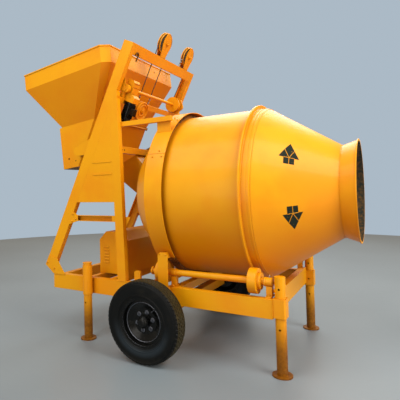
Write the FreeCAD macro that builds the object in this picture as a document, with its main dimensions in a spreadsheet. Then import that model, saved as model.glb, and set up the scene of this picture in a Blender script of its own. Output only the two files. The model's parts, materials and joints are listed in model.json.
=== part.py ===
import FreeCAD, Part
import Sketcher
import math
import os
from types import SimpleNamespace
from FreeCAD import Placement, Rotation, Vector

# Portable double-cone concrete mixer: a two-wheeled frame on four telescopic legs, a drum that
# rolls on two roller shafts, and a hopper that slides up a pair of inclined rails.
# All lengths are in millimetres.  X runs along the frame toward the drum's mouth, Y across, Z up.

doc = FreeCAD.newDocument("ConcreteMixer")
sheet = doc.addObject("Spreadsheet::Sheet", "Sizes")

driving = {
    # wheels and axle
    "tyre_radius": 375, "tyre_width": 178, "bead_radius": 215, "bead_half": 62, "shoulder_in": 13,
    "sidewall_rise": 74, "wheel_out": 272, "lip_high": 14, "lip_thick": 6, "rim_thick": 11,
    "dish_inset": 26, "dish_radius": 168, "dish_step": 28, "bolt_face": 118, "disc_thick": 10,
    "hub_radius": 55, "hub_inward": 90, "hub_outward": 50, "spindle_radius": 30,
    "spindle_over": 6, "axle_side": 90, "axle_over": 157, "pad_long": 160,
    # clearances
    "seat_gap": 0.4, "run_gap": 0.3, "cut_over": 2,
    # main frame
    "beam_foot": 470, "beam_deep": 164, "beam_flange": 63, "web_thick": 8,
    "flange_thick": 10, "beam_left": 1405, "left_beam_x": 1255,
    "right_beam_set": 23, "right_beam_rise": 40, "member_wide": 60, "member_deep": 74,
    "member_inset": 20, "stop_x": 279, "stop_long": 72, "stop_thick": 30, "stop_tall": 112,
    # telescopic legs
    "leg_radius": 44.5, "leg_wall": 6, "leg_gap": 1, "sleeve_wall": 6, "left_leg_x": 860,
    "right_leg_x": 1123, "right_leg_inset": 59, "left_leg_top": 805, "right_leg_top": 818,
    "sleeve_top": 775, "cap_radius": 49, "cap_thick": 8, "collar_side": 104, "collar_chamfer": 12,
    "collar_foot": 480, "collar_tall": 160, "foot_radius": 83, "foot_thick": 12,
    "pin_radius": 9, "pin_low": 385, "pin_pitch": 166, "pin_count": 3,
    # inclined rails and tower
    "rail_angle": 26.3, "rail_foot_x": 1462, "rail_foot_z": 724, "rail_deep": 124, "rail_flange": 58,
    "rail_long": 2640, "foot_drop": 30, "foot_seat": 6, "foot_long": 178, "foot_rise": 90,
    "top_beam_deep": 110, "post_x": 449.5, "post_wide": 101, "post_deep": 58, "post_angle": 1.83, "post_wall": 6,
    "plate_thick": 6, "plate_foot": 1445, "crease_low": 1735, "crease_pitch": 130,
    "crease_long": 250, "crease_thick": 4, "crease_deep": 14, "brace_z": 1270, "brace_deep": 62,
    "brace_flange": 44, "splice_out": 96, "splice_tall": 136, "cross_bar_z": 1960,
    "cross_bar_deep": 70, "cross_bar_wide": 60, "cross_bar_set": 20, "corner_z": 1180,
    "corner_tall": 110, "corner_long": 58,
    # drum
    "drum_radius": 829, "drum_wall": 6, "rear_x": 360, "rear_radius": 530, "cylinder_rear": 80,
    "cylinder_front": 933, "neck_x": 1568, "neck_radius": 420, "mouth_x": 1698,
    "mouth_radius": 460, "mouth_bead": 9, "ring_high": 42, "ring_wide": 65, "front_ring_x": 848,
    "rear_ring_x": -35, "blade_long": 620, "blade_tall": 240, "blade_thick": 8, "blade_angle": 28,
    "blade_count": 4, "lifter_rear": 980, "lifter_front": 1530, "lifter_tall": 140,
    "lifter_angle": 14, "lifter_count": 2,
    # ring gear and pinion
    "gear_module": 11.85, "gear_seat": 24.2, "gear_wide": 62, "gear_x": 38, "gear_backlash": 0.3,
    "pressure_angle": 20, "pinion_tooth_count": 16, "pinion_y": 300, "pinion_shaft": 25,
    "pinion_rear": 440, "pinion_gap": 0.4, "drive_bearing": 46, "drive_bearing_wide": 50,
    "drive_bearing_set": 45, "drive_bearing_rise": 21.1, "gear_member_gap": 34,
    # rollers and their shafts
    "roller_radius": 110, "roller_wide": 72, "roller_set": 20, "roller_gap": 0.4, "roller_angle": 40.089, "roller_inset": 81,
    "roller_rise": 126, "roller_hub": 72, "roller_hub_long": 26, "shaft_radius": 30,
    "shaft_rear": -128, "shaft_front": 1066, "bearing_radius": 38, "bearing_wide": 50,
    "bearing_base": 12, "bearing_lug": 34, "rear_bearing_x": 100, "front_bearing_x": 1008,
    "shaft_collar": 40, "shaft_collar_wide": 16, "shaft_end": 8, "stand_wide": 54, "stand_drop": 34,
    # gear guard
    "guard_air": 9, "guard_thick": 7, "guard_rear": -48, "guard_front": 138, "guard_cheek": 36,
    "guard_foot_angle": 43, "guard_post_x": 10, "guard_post_wide": 108, "guard_post_rise": 59,
    "guard_post_drop": 64, "guard_post_chamfer": 24, "guard_clear": 8, "strut_rise": 722,
    "strut_tall": 50, "strut_wide": 40, "strut_inset": 48, "strut_plate_x": -31,
    "strut_plate_long": 152, "strut_plate_thick": 8,
    # hopper and its carriage
    "hopper_angle": 6.3, "hopper_x": 569, "hopper_z": 3121, "hopper_long": 1240, "hopper_half": 750,
    "hopper_chamfer": 78, "hopper_band": 188, "hopper_wall": 6, "rim_wide": 6, "rim_high": 14,
    "neck_half": 545, "neck_drop": 693, "neck_left": 908, "neck_right": 389, "neck_chamfer": 23,
    "box_drop": 500, "box_lean": 306, "box_left": 948, "boss_along": 1329, "boss_across": -235,
    "boss_radius": 46, "boss_thick": 12, "trunnion_radius": 30, "gate_thick": 6, "gate_gap": 6,
    "gate_pin": 11, "gate_inset": 60, "gate_over": 10, "gate_lap": 14, "gate_lug": 8, "gate_lug_wide": 36,
    "carrier_gap": 15, "carrier_thick": 8, "carrier_wide": 96, "carrier_over": 60,
    "roller_low": 1480, "roller_pitch": 600, "hopper_roller_wide": 34, "hopper_roller_gap": 8,
    "hopper_pin": 14,
    # chute
    "chute_left": 850, "chute_half": 330, "chute_low": 1800, "chute_wall": 5,
    "spout_x": 300, "spout_half": 210, "spout_drop": 180, "spout_tall": 310,
    # drive cover
    "cover_left": 935, "cover_right": 560, "cover_near": 450, "cover_far": 330, "cover_tall": 471,
    "cover_chamfer": 95, "cover_wall": 4, "louvre_count": 6, "louvre_low": 752,
    "louvre_pitch": 34, "louvre_long": 66, "louvre_tall": 12, "louvre_out": 10,
    "louvre_set": 66,
    # hoist on the tower
    "hoist_along": 2186, "hoist_across": 100, "hoist_radius": 18, "hoist_inset": 81,
    "rope_drum_inset": 257, "low_sheave_inset": 453, "rope_drum_wide": 110, "rope_drum_radius": 62,
    "drum_flange": 95, "drum_flange_thick": 8, "hoist_bearing_inset": 125, "hoist_bearing_wide": 40,
    "hoist_bearing_radius": 45, "hoist_beam_deep": 36, "hoist_beam_tall": 60,
    "hoist_drum_air": 6, "gear_case_drop": 124, "gear_case_step": 58, "gear_case_inset": 243,
    "gear_case_wide": 110, "gear_case_rise": 104, "gear_case_out": 215, "gear_case_mid": 160,
    "gear_case_chamfer": 30, "motor_radius": 52, "motor_long": 185, "motor_across": 158,
    "motor_cap": 46, "motor_cap_long": 30,
    # sheaves
    "sheave_radius": 118, "sheave_groove": 14, "sheave_hub": 22, "sheave_wide": 36,
    "sheave_side_gap": 5, "sheave_rise": 151, "sheave_across": 33, "sheave_middle_y": -130,
    "sheave_far_y": 441, "sheave_pin": 21, "low_sheave_radius": 108, "low_sheave_drop": 186,
    "low_sheave_across": 130, "low_sheave_pin": 15, "cheek_wide": 108,
    "cheek_thick": 8, "cheek_over": 117, "cheek_chamfer": 36,
}
for row, (name, number) in enumerate(driving.items(), 1):
    sheet.set("A%d" % row, name)
    sheet.set("B%d" % row, str(number))
    sheet.setAlias("B%d" % row, name)
doc.recompute()


class Size:
    """A length that keeps its number and the spreadsheet expression behind it."""

    def __init__(self, number, text):
        self.number = number
        self.text = text

    def join(self, other, sign, number):
        return Size(number, "(%s %s %s)" % (self.text, sign, other.text))

    def __add__(self, other):
        other = as_size(other)
        return self.join(other, "+", self.number + other.number)

    def __sub__(self, other):
        other = as_size(other)
        return self.join(other, "-", self.number - other.number)

    def __mul__(self, other):
        other = as_size(other)
        return self.join(other, "*", self.number * other.number)

    def __truediv__(self, other):
        other = as_size(other)
        return self.join(other, "/", self.number / other.number)

    def __radd__(self, other):
        return as_size(other) + self

    def __rsub__(self, other):
        return as_size(other) - self

    def __rmul__(self, other):
        return as_size(other) * self

    def __neg__(self):
        return Size(-self.number, "(0 - %s)" % self.text)

    def __float__(self):
        return float(self.number)


def as_size(value):
    if isinstance(value, Size):
        return value
    return Size(float(value), "%.6f" % value)


def sine(angle):
    return Size(math.sin(math.radians(angle.number)), "sin(%s)" % angle.text)


def cosine(angle):
    return Size(math.cos(math.radians(angle.number)), "cos(%s)" % angle.text)


def tangent(angle):
    return Size(math.tan(math.radians(angle.number)), "tan(%s)" % angle.text)


def root(value):
    return Size(math.sqrt(value.number), "sqrt(%s)" % value.text)


d = SimpleNamespace(**{name: Size(float(number), "Sizes." + name) for name, number in driving.items()})
nodes = []
AXES = {"X": Vector(1, 0, 0), "Y": Vector(0, 1, 0), "Z": Vector(0, 0, 1)}


def bind(thing, place, value):
    thing.setExpression(place, as_size(value).text)


def place(thing, x=0, y=0, z=0, turn=None):
    """Puts a piece at x, y, z, turned by an angle about one axis."""
    rotation = Rotation()
    if turn:
        rotation = Rotation(AXES[turn[0]], float(as_size(turn[1])))
    thing.Placement = Placement(Vector(float(x), float(y), float(z)), rotation)
    for letter, value in (("x", x), ("y", y), ("z", z)):
        bind(thing, "Placement.Base." + letter, value)
    if turn and isinstance(turn[1], Size):
        bind(thing, "Placement.Rotation.Angle", turn[1])
    return thing


def box(label, long, wide, tall, x, y, z, turn=None):
    block = doc.addObject("Part::Box", label)
    for name, value in (("Length", long), ("Width", wide), ("Height", tall)):
        setattr(block, name, float(value))
        bind(block, name, value)
    return place(block, x, y, z, turn)


def rod(label, radius, length, x, y, z, axis="Z"):
    """A round bar from x, y, z along one axis."""
    bar = doc.addObject("Part::Cylinder", label)
    for name, value in (("Radius", radius), ("Height", length)):
        setattr(bar, name, float(value))
        bind(bar, name, value)
    turns = {"Z": None, "X": ("Y", 90), "Y": ("X", -90)}
    return place(bar, x, y, z, turns[axis])


def cut(label, base, tool):
    piece = doc.addObject("Part::Cut", label)
    piece.Base = base
    piece.Tool = tool
    return piece


def fuse(label, shapes):
    piece = doc.addObject("Part::MultiFuse", label)
    piece.Shapes = shapes
    return piece


def group(label, shapes):
    """Separate solids that share one node."""
    piece = doc.addObject("Part::Compound", label)
    piece.Links = shapes
    return piece


def node(label, piece):
    piece.Label = label
    nodes.append(piece)
    return piece


def origin_plane(body, role):
    return [feature for feature in body.Origin.OriginFeatures if feature.Role == role][0]


def sketch_on(body, plane, corners, level=0):
    """A closed outline of straight edges, every corner driven by the spreadsheet."""
    sketch = body.newObject("Sketcher::SketchObject", body.Name + "Outline")
    sketch.AttachmentSupport = (origin_plane(body, plane + "_Plane"), [""])
    sketch.MapMode = "FlatFace"
    sketch.AttachmentOffset = Placement(Vector(0, 0, float(level)), Rotation())
    bind(sketch, "AttachmentOffset.Base.z", level)
    count = len(corners)
    points = [Vector(float(across), float(up), 0) for across, up in corners]
    sketch.addGeometry([Part.LineSegment(points[i], points[(i + 1) % count]) for i in range(count)])
    for i in range(count):
        sketch.addConstraint(Sketcher.Constraint("Coincident", i, 2, (i + 1) % count, 1))
    for i, (across, up) in enumerate(corners):
        for kind, value in (("DistanceX", across), ("DistanceY", up)):
            index = sketch.addConstraint(Sketcher.Constraint(kind, -1, 1, i, 1, float(value)))
            bind(sketch, "Constraints[%d]" % index, value)
    return sketch


def padded(label, plane, corners, start, length):
    """A body extruded from a flat outline, from the level start over a length."""
    body = doc.addObject("PartDesign::Body", label)
    sketch = sketch_on(body, plane, corners, start)
    pad = body.newObject("PartDesign::Pad", label + "Pad")
    pad.Profile = sketch
    pad.Length = float(length)
    bind(pad, "Length", length)
    return body


def turned(label, plane, corners):
    """A body turned about the outline's own horizontal axis: X on XZ, Y on YZ."""
    body = doc.addObject("PartDesign::Body", label)
    sketch = sketch_on(body, plane, corners)
    spin = body.newObject("PartDesign::Revolution", label + "Turn")
    spin.Profile = sketch
    spin.ReferenceAxis = (sketch, ["H_Axis"])
    spin.Angle = 360
    return body


def side_plate(label, side, corners, inner, thick):
    """An upright plate whose faces lie at inner and inner + thick from the middle plane."""
    return padded(label, "XZ", corners, inner if side < 0 else -(inner + thick), thick)


def channel(deep, flange, web, lip):
    """Corners of a channel section: back on the line 0, flanges reaching toward plus."""
    return [(0, 0), (flange, 0), (flange, lip), (web, lip), (web, deep - lip), (flange, deep - lip),
            (flange, deep), (0, deep)]


SIDES = (("near", -1), ("far", 1))
beam_top = d.beam_foot + d.beam_deep
ring_radius = d.drum_radius + d.ring_high
roller_reach = ring_radius + d.roller_radius + d.roller_gap
roller_y = roller_reach * sine(d.roller_angle)
roller_z = beam_top + d.roller_rise
drum_z = roller_z + roller_reach * cosine(d.roller_angle)
half_frame = roller_y + d.roller_inset
inner_half = half_frame - d.beam_flange
right_leg_y = half_frame - d.right_leg_inset
beam_right = d.right_leg_x - d.collar_side / 2
wheel_y = half_frame + d.wheel_out
axle_half = half_frame + d.axle_over
guard_radius = ring_radius + d.guard_air
guard_outer = guard_radius + d.guard_thick
guard_foot_z = drum_z - guard_outer * sine(d.guard_foot_angle)


# ---- main frame -------------------------------------------------------------------------------

def side_beam(name, side):
    section = [(side * (half_frame - across), up) for across, up in
               channel(d.beam_deep, d.beam_flange, d.web_thick, d.flange_thick)]
    if side < 0:
        section.reverse()
    beam = padded("SideBeam" + name, "YZ", section, -d.beam_left, d.beam_left + beam_right)
    place(beam, 0, 0, d.beam_foot)
    node("side_beam_" + name, beam)


def end_beams():
    section = [(-across, up) for across, up in
               channel(d.beam_deep, d.beam_flange, d.web_thick, d.flange_thick)]
    left = padded("LeftBeam", "XZ", section, -inner_half, inner_half * 2)
    node("end_beam_left", place(left, -d.left_beam_x, 0, d.beam_foot))
    reach = right_leg_y - d.collar_side / 2
    right = padded("RightBeam", "XZ", section, -reach, reach * 2)
    node("end_beam_right", place(right, d.right_leg_x - d.right_beam_set, 0, d.beam_foot + d.right_beam_rise))


def cross_members():
    """High members carry the drive cover and the drum's end, low ones the pinion's bearings."""
    pieces = []
    high = beam_top - d.member_deep
    under = (d.member_wide - d.drive_bearing_wide) / 2
    places = [(-d.cover_left + d.member_inset, high),
              (-d.cover_right - d.member_inset - d.member_wide, high),
              (d.gear_x + d.gear_wide + d.gear_member_gap, high)]
    places += [(x - under, drive_seat_z() - d.member_deep) for x in drive_bearing_places()]
    for index, (x, z) in enumerate(places):
        pieces.append(box("Member%d" % index, d.member_wide, inner_half * 2, d.member_deep,
                          x, -inner_half, z))
    node("cross_members", group("CrossMembers", pieces))


def drive_bearing_places():
    """Rear edges of the pinion shaft's two bearings, one at its end and one beside the gear."""
    beside = d.gear_x - d.drive_bearing_set - d.drive_bearing_wide
    return [-d.pinion_rear + d.drive_bearing_set, beside]


def drive_seat_z():
    """Height of the members' faces that the pinion's bearings stand on."""
    return pinion_z - d.drive_bearing - d.drive_bearing_rise


def axle():
    low = d.tyre_radius - d.axle_side / 2
    pieces = [box("AxleTube", d.axle_side, axle_half * 2, d.axle_side, -d.axle_side / 2,
                  -axle_half, low)]
    reach = wheel_y + d.hub_outward + d.spindle_over - axle_half
    for name, side in SIDES:
        start = axle_half if side > 0 else -axle_half - reach
        pieces.append(rod("Spindle" + name, d.spindle_radius, reach, 0, start, d.tyre_radius, "Y"))
        middle = side * (half_frame - d.beam_flange / 2)
        pieces.append(box("AxlePad" + name, d.pad_long, d.beam_flange,
                          d.beam_foot - low - d.axle_side, -d.pad_long / 2,
                          middle - d.beam_flange / 2, low + d.axle_side))
    node("axle", fuse("Axle", pieces))


# ---- telescopic legs --------------------------------------------------------------------------

def pin_holes(name, x, y, reach, levels):
    """Cross holes for leg pins, drilled through along Y at the given heights."""
    return fuse("PinHoles" + name, [rod("PinHole%s%d" % (name, index), d.pin_radius, reach * 2, x,
                                        y - reach, z, "Y") for index, z in enumerate(levels)])


def leg(name, x, y, top, capped):
    tube = rod("LegTube" + name, d.leg_radius, top - d.foot_thick, x, y, d.foot_thick)
    bore = rod("LegBore" + name, d.leg_radius - d.leg_wall, top - d.foot_thick - d.leg_wall, x, y,
               d.foot_thick)
    levels = [d.pin_low + d.pin_pitch * index for index in range(int(d.pin_count.number))]
    holes = pin_holes("Leg" + name, x, y, d.leg_radius + d.cut_over, levels)
    hollow = cut("LegHollow" + name, tube, bore)
    pieces = [cut("LegHoled" + name, hollow, holes),
              rod("LegFoot" + name, d.foot_radius, d.foot_thick, x, y, 0)]
    if capped:
        pieces.append(rod("LegCap" + name, d.cap_radius, d.cap_thick, x, y, top - d.cap_thick))
    node("leg_" + name, fuse("Leg" + name, pieces))


def legs():
    bore = d.leg_radius + d.leg_gap
    left_y = half_frame + bore + d.sleeve_wall
    pinned = d.pin_low + d.pin_pitch
    sleeves = []
    for name, side in SIDES:
        leg(name + "_left", -d.left_leg_x, side * left_y, d.left_leg_top, True)
        leg(name + "_right", d.right_leg_x, side * right_leg_y, d.right_leg_top, False)
        outer = rod("Sleeve" + name, bore + d.sleeve_wall, d.sleeve_top - d.beam_foot,
                    -d.left_leg_x, side * left_y, d.beam_foot)
        inner = rod("SleeveBore" + name, bore, d.sleeve_top - d.beam_foot, -d.left_leg_x,
                    side * left_y, d.beam_foot)
        sleeves.append(cut("SleeveTube" + name, outer, inner))
        half = d.collar_side / 2
        slope = half - d.collar_chamfer
        outline = [(-half, -half), (slope, -half), (half, -slope), (half, half), (-half, half)]
        if side > 0:
            outline = [(x, -y) for x, y in reversed(outline)]
        block = padded("Collar" + name, "XY", outline, 0, d.collar_tall)
        place(block, d.right_leg_x, side * right_leg_y, d.collar_foot)
        hole = rod("CollarBore" + name, bore, d.collar_tall, d.right_leg_x, side * right_leg_y,
                   d.collar_foot)
        ring = cut("CollarRing" + name, block, hole)
        if side > 0:
            reach = half + d.cut_over
            hole = rod("CollarHole", d.pin_radius, reach * 2, d.right_leg_x, right_leg_y - reach,
                       pinned, "Y")
            ring = cut("CollarBlock", ring, hole)
        sleeves.append(ring)
    node("leg_sleeves", group("LegSleeves", sleeves))


# ---- inclined rails and tower -----------------------------------------------------------------

lean_sin = sine(d.rail_angle)
lean_cos = cosine(d.rail_angle)
rail_edge = d.rail_deep / 2
post_left = -d.post_x - d.post_wide / 2
post_right = post_left + d.post_wide
post_slope = tangent(d.post_angle)
hoist_beam_high = d.hoist_along - d.drum_flange - d.hoist_drum_air
hoist_beam_foot = hoist_beam_high - d.hoist_beam_tall


def on_rail(along, across):
    """X and Z of a point given along the rail from its foot, and across it toward the drum."""
    x = -d.rail_foot_x + along * lean_sin + across * lean_cos
    z = d.rail_foot_z + along * lean_cos - across * lean_sin
    return x, z


def rail_x(z, across):
    """X where the line at a distance across the rail passes the height z."""
    along = (z - d.rail_foot_z + across * lean_sin) / lean_cos
    return on_rail(along, across)[0]


def rail_z(x, across):
    """Height at which the line at a distance across the rail passes x."""
    along = (x + d.rail_foot_x - across * lean_cos) / lean_sin
    return on_rail(along, across)[1]


def post_line(foot_x, z):
    """X at a height on the line of the leaning post that starts at foot_x on the beam."""
    return foot_x - (z - beam_top) * post_slope


def post_top(foot_x):
    """X and Z where such a line meets the rail's edge."""
    low = d.rail_foot_z - rail_edge * lean_sin - beam_top
    shift = foot_x + d.rail_foot_x - rail_edge * lean_cos - low * post_slope
    return on_rail(shift / (lean_sin + lean_cos * post_slope), rail_edge)


def post_shape(label, side, inset, inner):
    """One length of the post's section, drawn in from its outline by the inset."""
    left, right = post_left + inset, post_right - inset
    corners = [(left, beam_top), (right, beam_top), post_top(right), post_top(left)]
    return side_plate(label, side, corners, inner, d.post_deep)


def rail(name, side):
    section = [(up - rail_edge, side * (half_frame - across)) for across, up in
               channel(d.rail_deep, d.rail_flange, d.web_thick, d.flange_thick)]
    if side > 0:
        section.reverse()
    bar = padded("RailBar" + name, "XY", section, 0, d.rail_long)
    place(bar, -d.rail_foot_x, 0, d.rail_foot_z, ("Y", d.rail_angle))
    seat = beam_top - d.foot_seat
    corners = [on_rail(-d.foot_drop, -rail_edge), (-d.beam_left, seat),
               (-d.beam_left + d.foot_long, seat), on_rail(d.foot_rise + d.foot_drop, rail_edge),
               on_rail(d.foot_rise, -rail_edge)]
    foot = side_plate("RailFoot" + name, side, corners, half_frame, d.plate_thick)
    low = d.brace_z - d.splice_tall / 2
    high = low + d.splice_tall
    out = rail_x(d.brace_z, rail_edge) + d.splice_out
    low_edge = d.brace_z - d.brace_deep / 2
    corners = [(rail_x(low, rail_edge), low), (out, low_edge), (out, low_edge + d.brace_deep),
               (rail_x(high, rail_edge), high)]
    splice = side_plate("RailSplice" + name, side, corners, half_frame - d.plate_thick,
                        d.plate_thick)
    node("rail_" + name, fuse("Rail" + name, [bar, foot, splice]))


def top_beam():
    reach = half_frame - d.rail_flange
    bar = padded("TopBar", "XZ", [(rail_edge - across, up) for across, up in
                 channel(d.top_beam_deep, d.rail_flange, d.web_thick, d.flange_thick)],
                 -reach, reach * 2)
    x, z = on_rail(d.rail_long - d.top_beam_deep, as_size(0))
    node("rail_top_beam", place(bar, x, 0, z, ("Y", d.rail_angle)))


def hoist_beam(label):
    """The beam that the hoist stands on: it lies on both rails and passes into the posts."""
    reach = half_frame - d.post_wall - d.run_gap
    x, z = on_rail(hoist_beam_foot, rail_edge)
    return box(label, d.hoist_beam_deep, reach * 2, d.hoist_beam_tall, x, -reach, z,
               ("Y", d.rail_angle))


def post(name, side):
    inner = half_frame - d.post_deep
    solid = post_shape("PostBar" + name, side, as_size(0), inner)
    hollow = post_shape("PostHollow" + name, side, d.post_wall, inner - d.post_wall)
    channel_post = cut("PostChannel" + name, solid, hollow)
    node("tower_post_" + name, cut("Post" + name, channel_post, hoist_beam("PostNotch" + name)))
    corners = [(rail_x(d.plate_foot, rail_edge), d.plate_foot),
               (post_line(post_left, d.plate_foot), d.plate_foot), post_top(post_left)]
    plate = side_plate("SidePlate" + name, side, corners, half_frame - d.plate_thick, d.plate_thick)
    creases = []
    for index in range(2):
        low = d.crease_low + d.crease_pitch * index
        right = post_line(post_left, low) - d.crease_deep
        corners = [(right - d.crease_long, low), (right, low), (right, low + d.crease_deep),
                   (right - d.crease_long, low + d.crease_deep)]
        creases.append(side_plate("Crease%s%d" % (name, index), side, corners, half_frame,
                                  d.crease_thick))
    node("side_plate_" + name, fuse("CreasedPlate" + name, [plate] + creases))


cross_bar_x = post_line(post_left, d.cross_bar_z) + d.cross_bar_set


def tower_bars():
    """Braces from rail to post, the bar under the feed, post corners and the end stops."""
    pieces = []
    for name, side in SIDES:
        low = d.brace_z - d.brace_deep / 2
        high = low + d.brace_deep
        inner = half_frame - d.plate_thick - d.brace_flange
        corners = [(rail_x(low, rail_edge), low), (post_line(post_left, low), low),
                   (post_line(post_left, high), high), (rail_x(high, rail_edge), high)]
        solid = side_plate("BraceBar" + name, side, corners, inner, d.brace_flange)
        web = inner + d.plate_thick
        hollow = box("BraceHollow" + name, d.post_x * 2, d.brace_flange,
                     d.brace_deep - d.plate_thick * 2, -d.rail_foot_x,
                     -web - d.brace_flange if side < 0 else web, low + d.plate_thick)
        pieces.append(cut("Brace" + name, solid, hollow))
        high = d.corner_z + d.corner_tall
        foot = post_line(post_right, d.corner_z)
        corners = [(foot, d.corner_z), (foot + d.corner_long, high),
                   (post_line(post_right, high), high)]
        pieces.append(side_plate("PostCorner" + name, side, corners, half_frame - d.post_deep,
                                 d.plate_thick))
        left = -d.stop_x - d.stop_long / 2
        corners = [(left, beam_top), (left + d.stop_long, beam_top),
                   (left + d.stop_long, beam_top + d.stop_tall - d.crease_deep),
                   (left + d.stop_long - d.crease_deep, beam_top + d.stop_tall),
                   (left + d.crease_deep, beam_top + d.stop_tall),
                   (left, beam_top + d.stop_tall - d.crease_deep)]
        pieces.append(side_plate("BeamStop" + name, side, corners, inner_half, d.stop_thick))
    inner = half_frame - d.post_wall
    pieces.append(box("CrossBar", d.cross_bar_wide, inner * 2, d.cross_bar_deep,
                      cross_bar_x, -inner, d.cross_bar_z))
    node("tower_bars", group("TowerBars", pieces))


# ---- drum -------------------------------------------------------------------------------------

skin = d.drum_wall * 1.2
drum_outline = [(-d.rear_x, d.rear_radius), (-d.cylinder_rear, d.drum_radius),
                (d.cylinder_front, d.drum_radius), (d.neck_x, d.neck_radius),
                (d.mouth_x, d.mouth_radius)]
drum_inside = [(x, radius - skin) for x, radius in drum_outline]


def drum():
    lip = [(d.mouth_x, d.mouth_radius + d.mouth_bead),
           (d.mouth_x - d.mouth_bead, d.mouth_radius + d.mouth_bead),
           (d.mouth_x - d.mouth_bead, d.mouth_radius)]
    shell = turned("DrumShell", "XZ", drum_outline[:-1] + lip[::-1] + drum_inside[::-1])
    node("drum_shell", place(shell, 0, 0, drum_z))
    rings = []
    for name, x in (("Rear", d.rear_ring_x), ("Front", d.front_ring_x)):
        corners = [(x, d.drum_radius), (x + d.ring_wide, d.drum_radius),
                   (x + d.ring_wide, ring_radius), (x, ring_radius)]
        rings.append(place(turned(name + "Ring", "XZ", corners), 0, 0, drum_z))
    node("rolling_rings", group("RollingRings", rings))


def mixing_blades():
    """Skewed plates end on the shell's inside: blades in the cylinder, lifters in the front cone."""
    blades = []
    inner = d.drum_radius - skin
    room = turned("BladeRoom", "XZ", [(-d.rear_x, as_size(0))] + drum_inside + [(d.mouth_x, as_size(0))])
    kinds = []
    middle = (d.cylinder_front - d.cylinder_rear) / 2
    corners = [(-d.blade_long / 2, inner - d.blade_tall), (d.blade_long / 2, inner - d.blade_tall),
               (d.blade_long / 2, d.drum_radius), (-d.blade_long / 2, d.drum_radius)]
    kinds.append(("Blade", corners, middle, d.blade_angle, d.blade_count))
    slope = (d.drum_radius - d.neck_radius) / (d.neck_x - d.cylinder_front)
    reach = d.lifter_front - d.lifter_rear
    start = d.drum_radius - (d.lifter_rear - d.cylinder_front) * slope
    end = start - reach * slope
    corners = [(-reach / 2, start - d.lifter_tall), (reach / 2, end - d.lifter_tall),
               (reach / 2, end + d.drum_wall), (-reach / 2, start + d.drum_wall)]
    kinds.append(("Lifter", corners, (d.lifter_rear + d.lifter_front) / 2, d.lifter_angle,
                  d.lifter_count))
    for name, corners, x, skew, count in kinds:
        copies = int(count.number)
        for index in range(copies):
            plate = padded("%sPlate%d" % (name, index), "XZ", corners, -d.blade_thick / 2,
                           d.blade_thick)
            place(plate, x, 0, 0, ("Z", skew))
            blade = doc.addObject("Part::Common", "%s%d" % (name, index))
            blade.Base = plate
            blade.Tool = room
            blades.append(place(blade, 0, 0, drum_z, ("X", 360 / copies * index)))
    node("mixing_blades", group("MixingBlades", blades))


# ---- ring gear and pinion: a true pair of spur gears ------------------------------------------

ring_teeth = round(2 * (d.drum_radius + d.gear_seat).number / d.gear_module.number)
ring_pitch = d.gear_module * ring_teeth / 2
pinion_pitch = d.gear_module * d.pinion_tooth_count / 2
gear_reach = ring_pitch + pinion_pitch + d.pinion_gap
pinion_z = drum_z - root(gear_reach * gear_reach - d.pinion_y * d.pinion_y)


def involute(angle):
    return math.tan(angle) - angle


def tooth_half_angle(radius, teeth):
    """Half the angle that a tooth covers at a radius; below its base circle the flank is radial."""
    pitch_radius = d.gear_module.number * teeth / 2
    pressure = math.radians(d.pressure_angle.number)
    base_radius = pitch_radius * math.cos(pressure)
    radius = max(radius, base_radius)
    thinned = d.gear_backlash.number / (2 * pitch_radius)
    return math.pi / (2 * teeth) - thinned + involute(pressure) - involute(math.acos(base_radius / radius))


def gear_outline(teeth, shares, first):
    """Corners of a spur gear in the YZ plane, from the radii at which each flank is cut."""
    pitch_radius = d.gear_module.number * teeth / 2
    low = pitch_radius - 1.25 * d.gear_module.number
    high = pitch_radius + d.gear_module.number
    radii = [low + (high - low) * share for share in shares]
    points = []
    for tooth in range(teeth):
        middle = first + 2 * math.pi * tooth / teeth
        flank = [(radius, tooth_half_angle(radius, teeth)) for radius in radii]
        rising = [(radius, middle - half) for radius, half in flank]
        falling = [(radius, middle + half) for radius, half in reversed(flank)]
        points += [Vector(0, radius * math.cos(angle), radius * math.sin(angle))
                   for radius, angle in rising + falling]
    return Part.Face(Part.makePolygon(points + points[:1]))


def gear_pair():
    """The ring gear has a gap, and the pinion a tooth, on the line between their axes."""
    wide = d.gear_wide.number
    toward = math.atan2((pinion_z - drum_z).number, d.pinion_y.number)
    ring = gear_outline(ring_teeth, (0, 1), toward + math.pi / ring_teeth)
    bore = Part.makeCylinder(d.drum_radius.number, wide, Vector(0, 0, 0), Vector(1, 0, 0))
    gear = doc.addObject("Part::Feature", "RingGear")
    gear.Shape = ring.extrude(Vector(wide, 0, 0)).cut(bore)
    node("ring_gear", place(gear, d.gear_x, 0, drum_z))
    teeth = int(d.pinion_tooth_count.number)
    small = gear_outline(teeth, (0, 0.35, 0.56, 0.8, 1), toward + math.pi)
    wheel_part = doc.addObject("Part::Feature", "PinionGear")
    wheel_part.Shape = small.extrude(Vector(wide, 0, 0))
    place(wheel_part, d.gear_x, d.pinion_y, pinion_z)
    shaft = rod("PinionShaft", d.pinion_shaft, d.pinion_rear + d.gear_x + d.gear_wide,
                -d.pinion_rear, d.pinion_y, pinion_z, "X")
    node("drive_pinion", fuse("DrivePinion", [wheel_part, shaft]))


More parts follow.
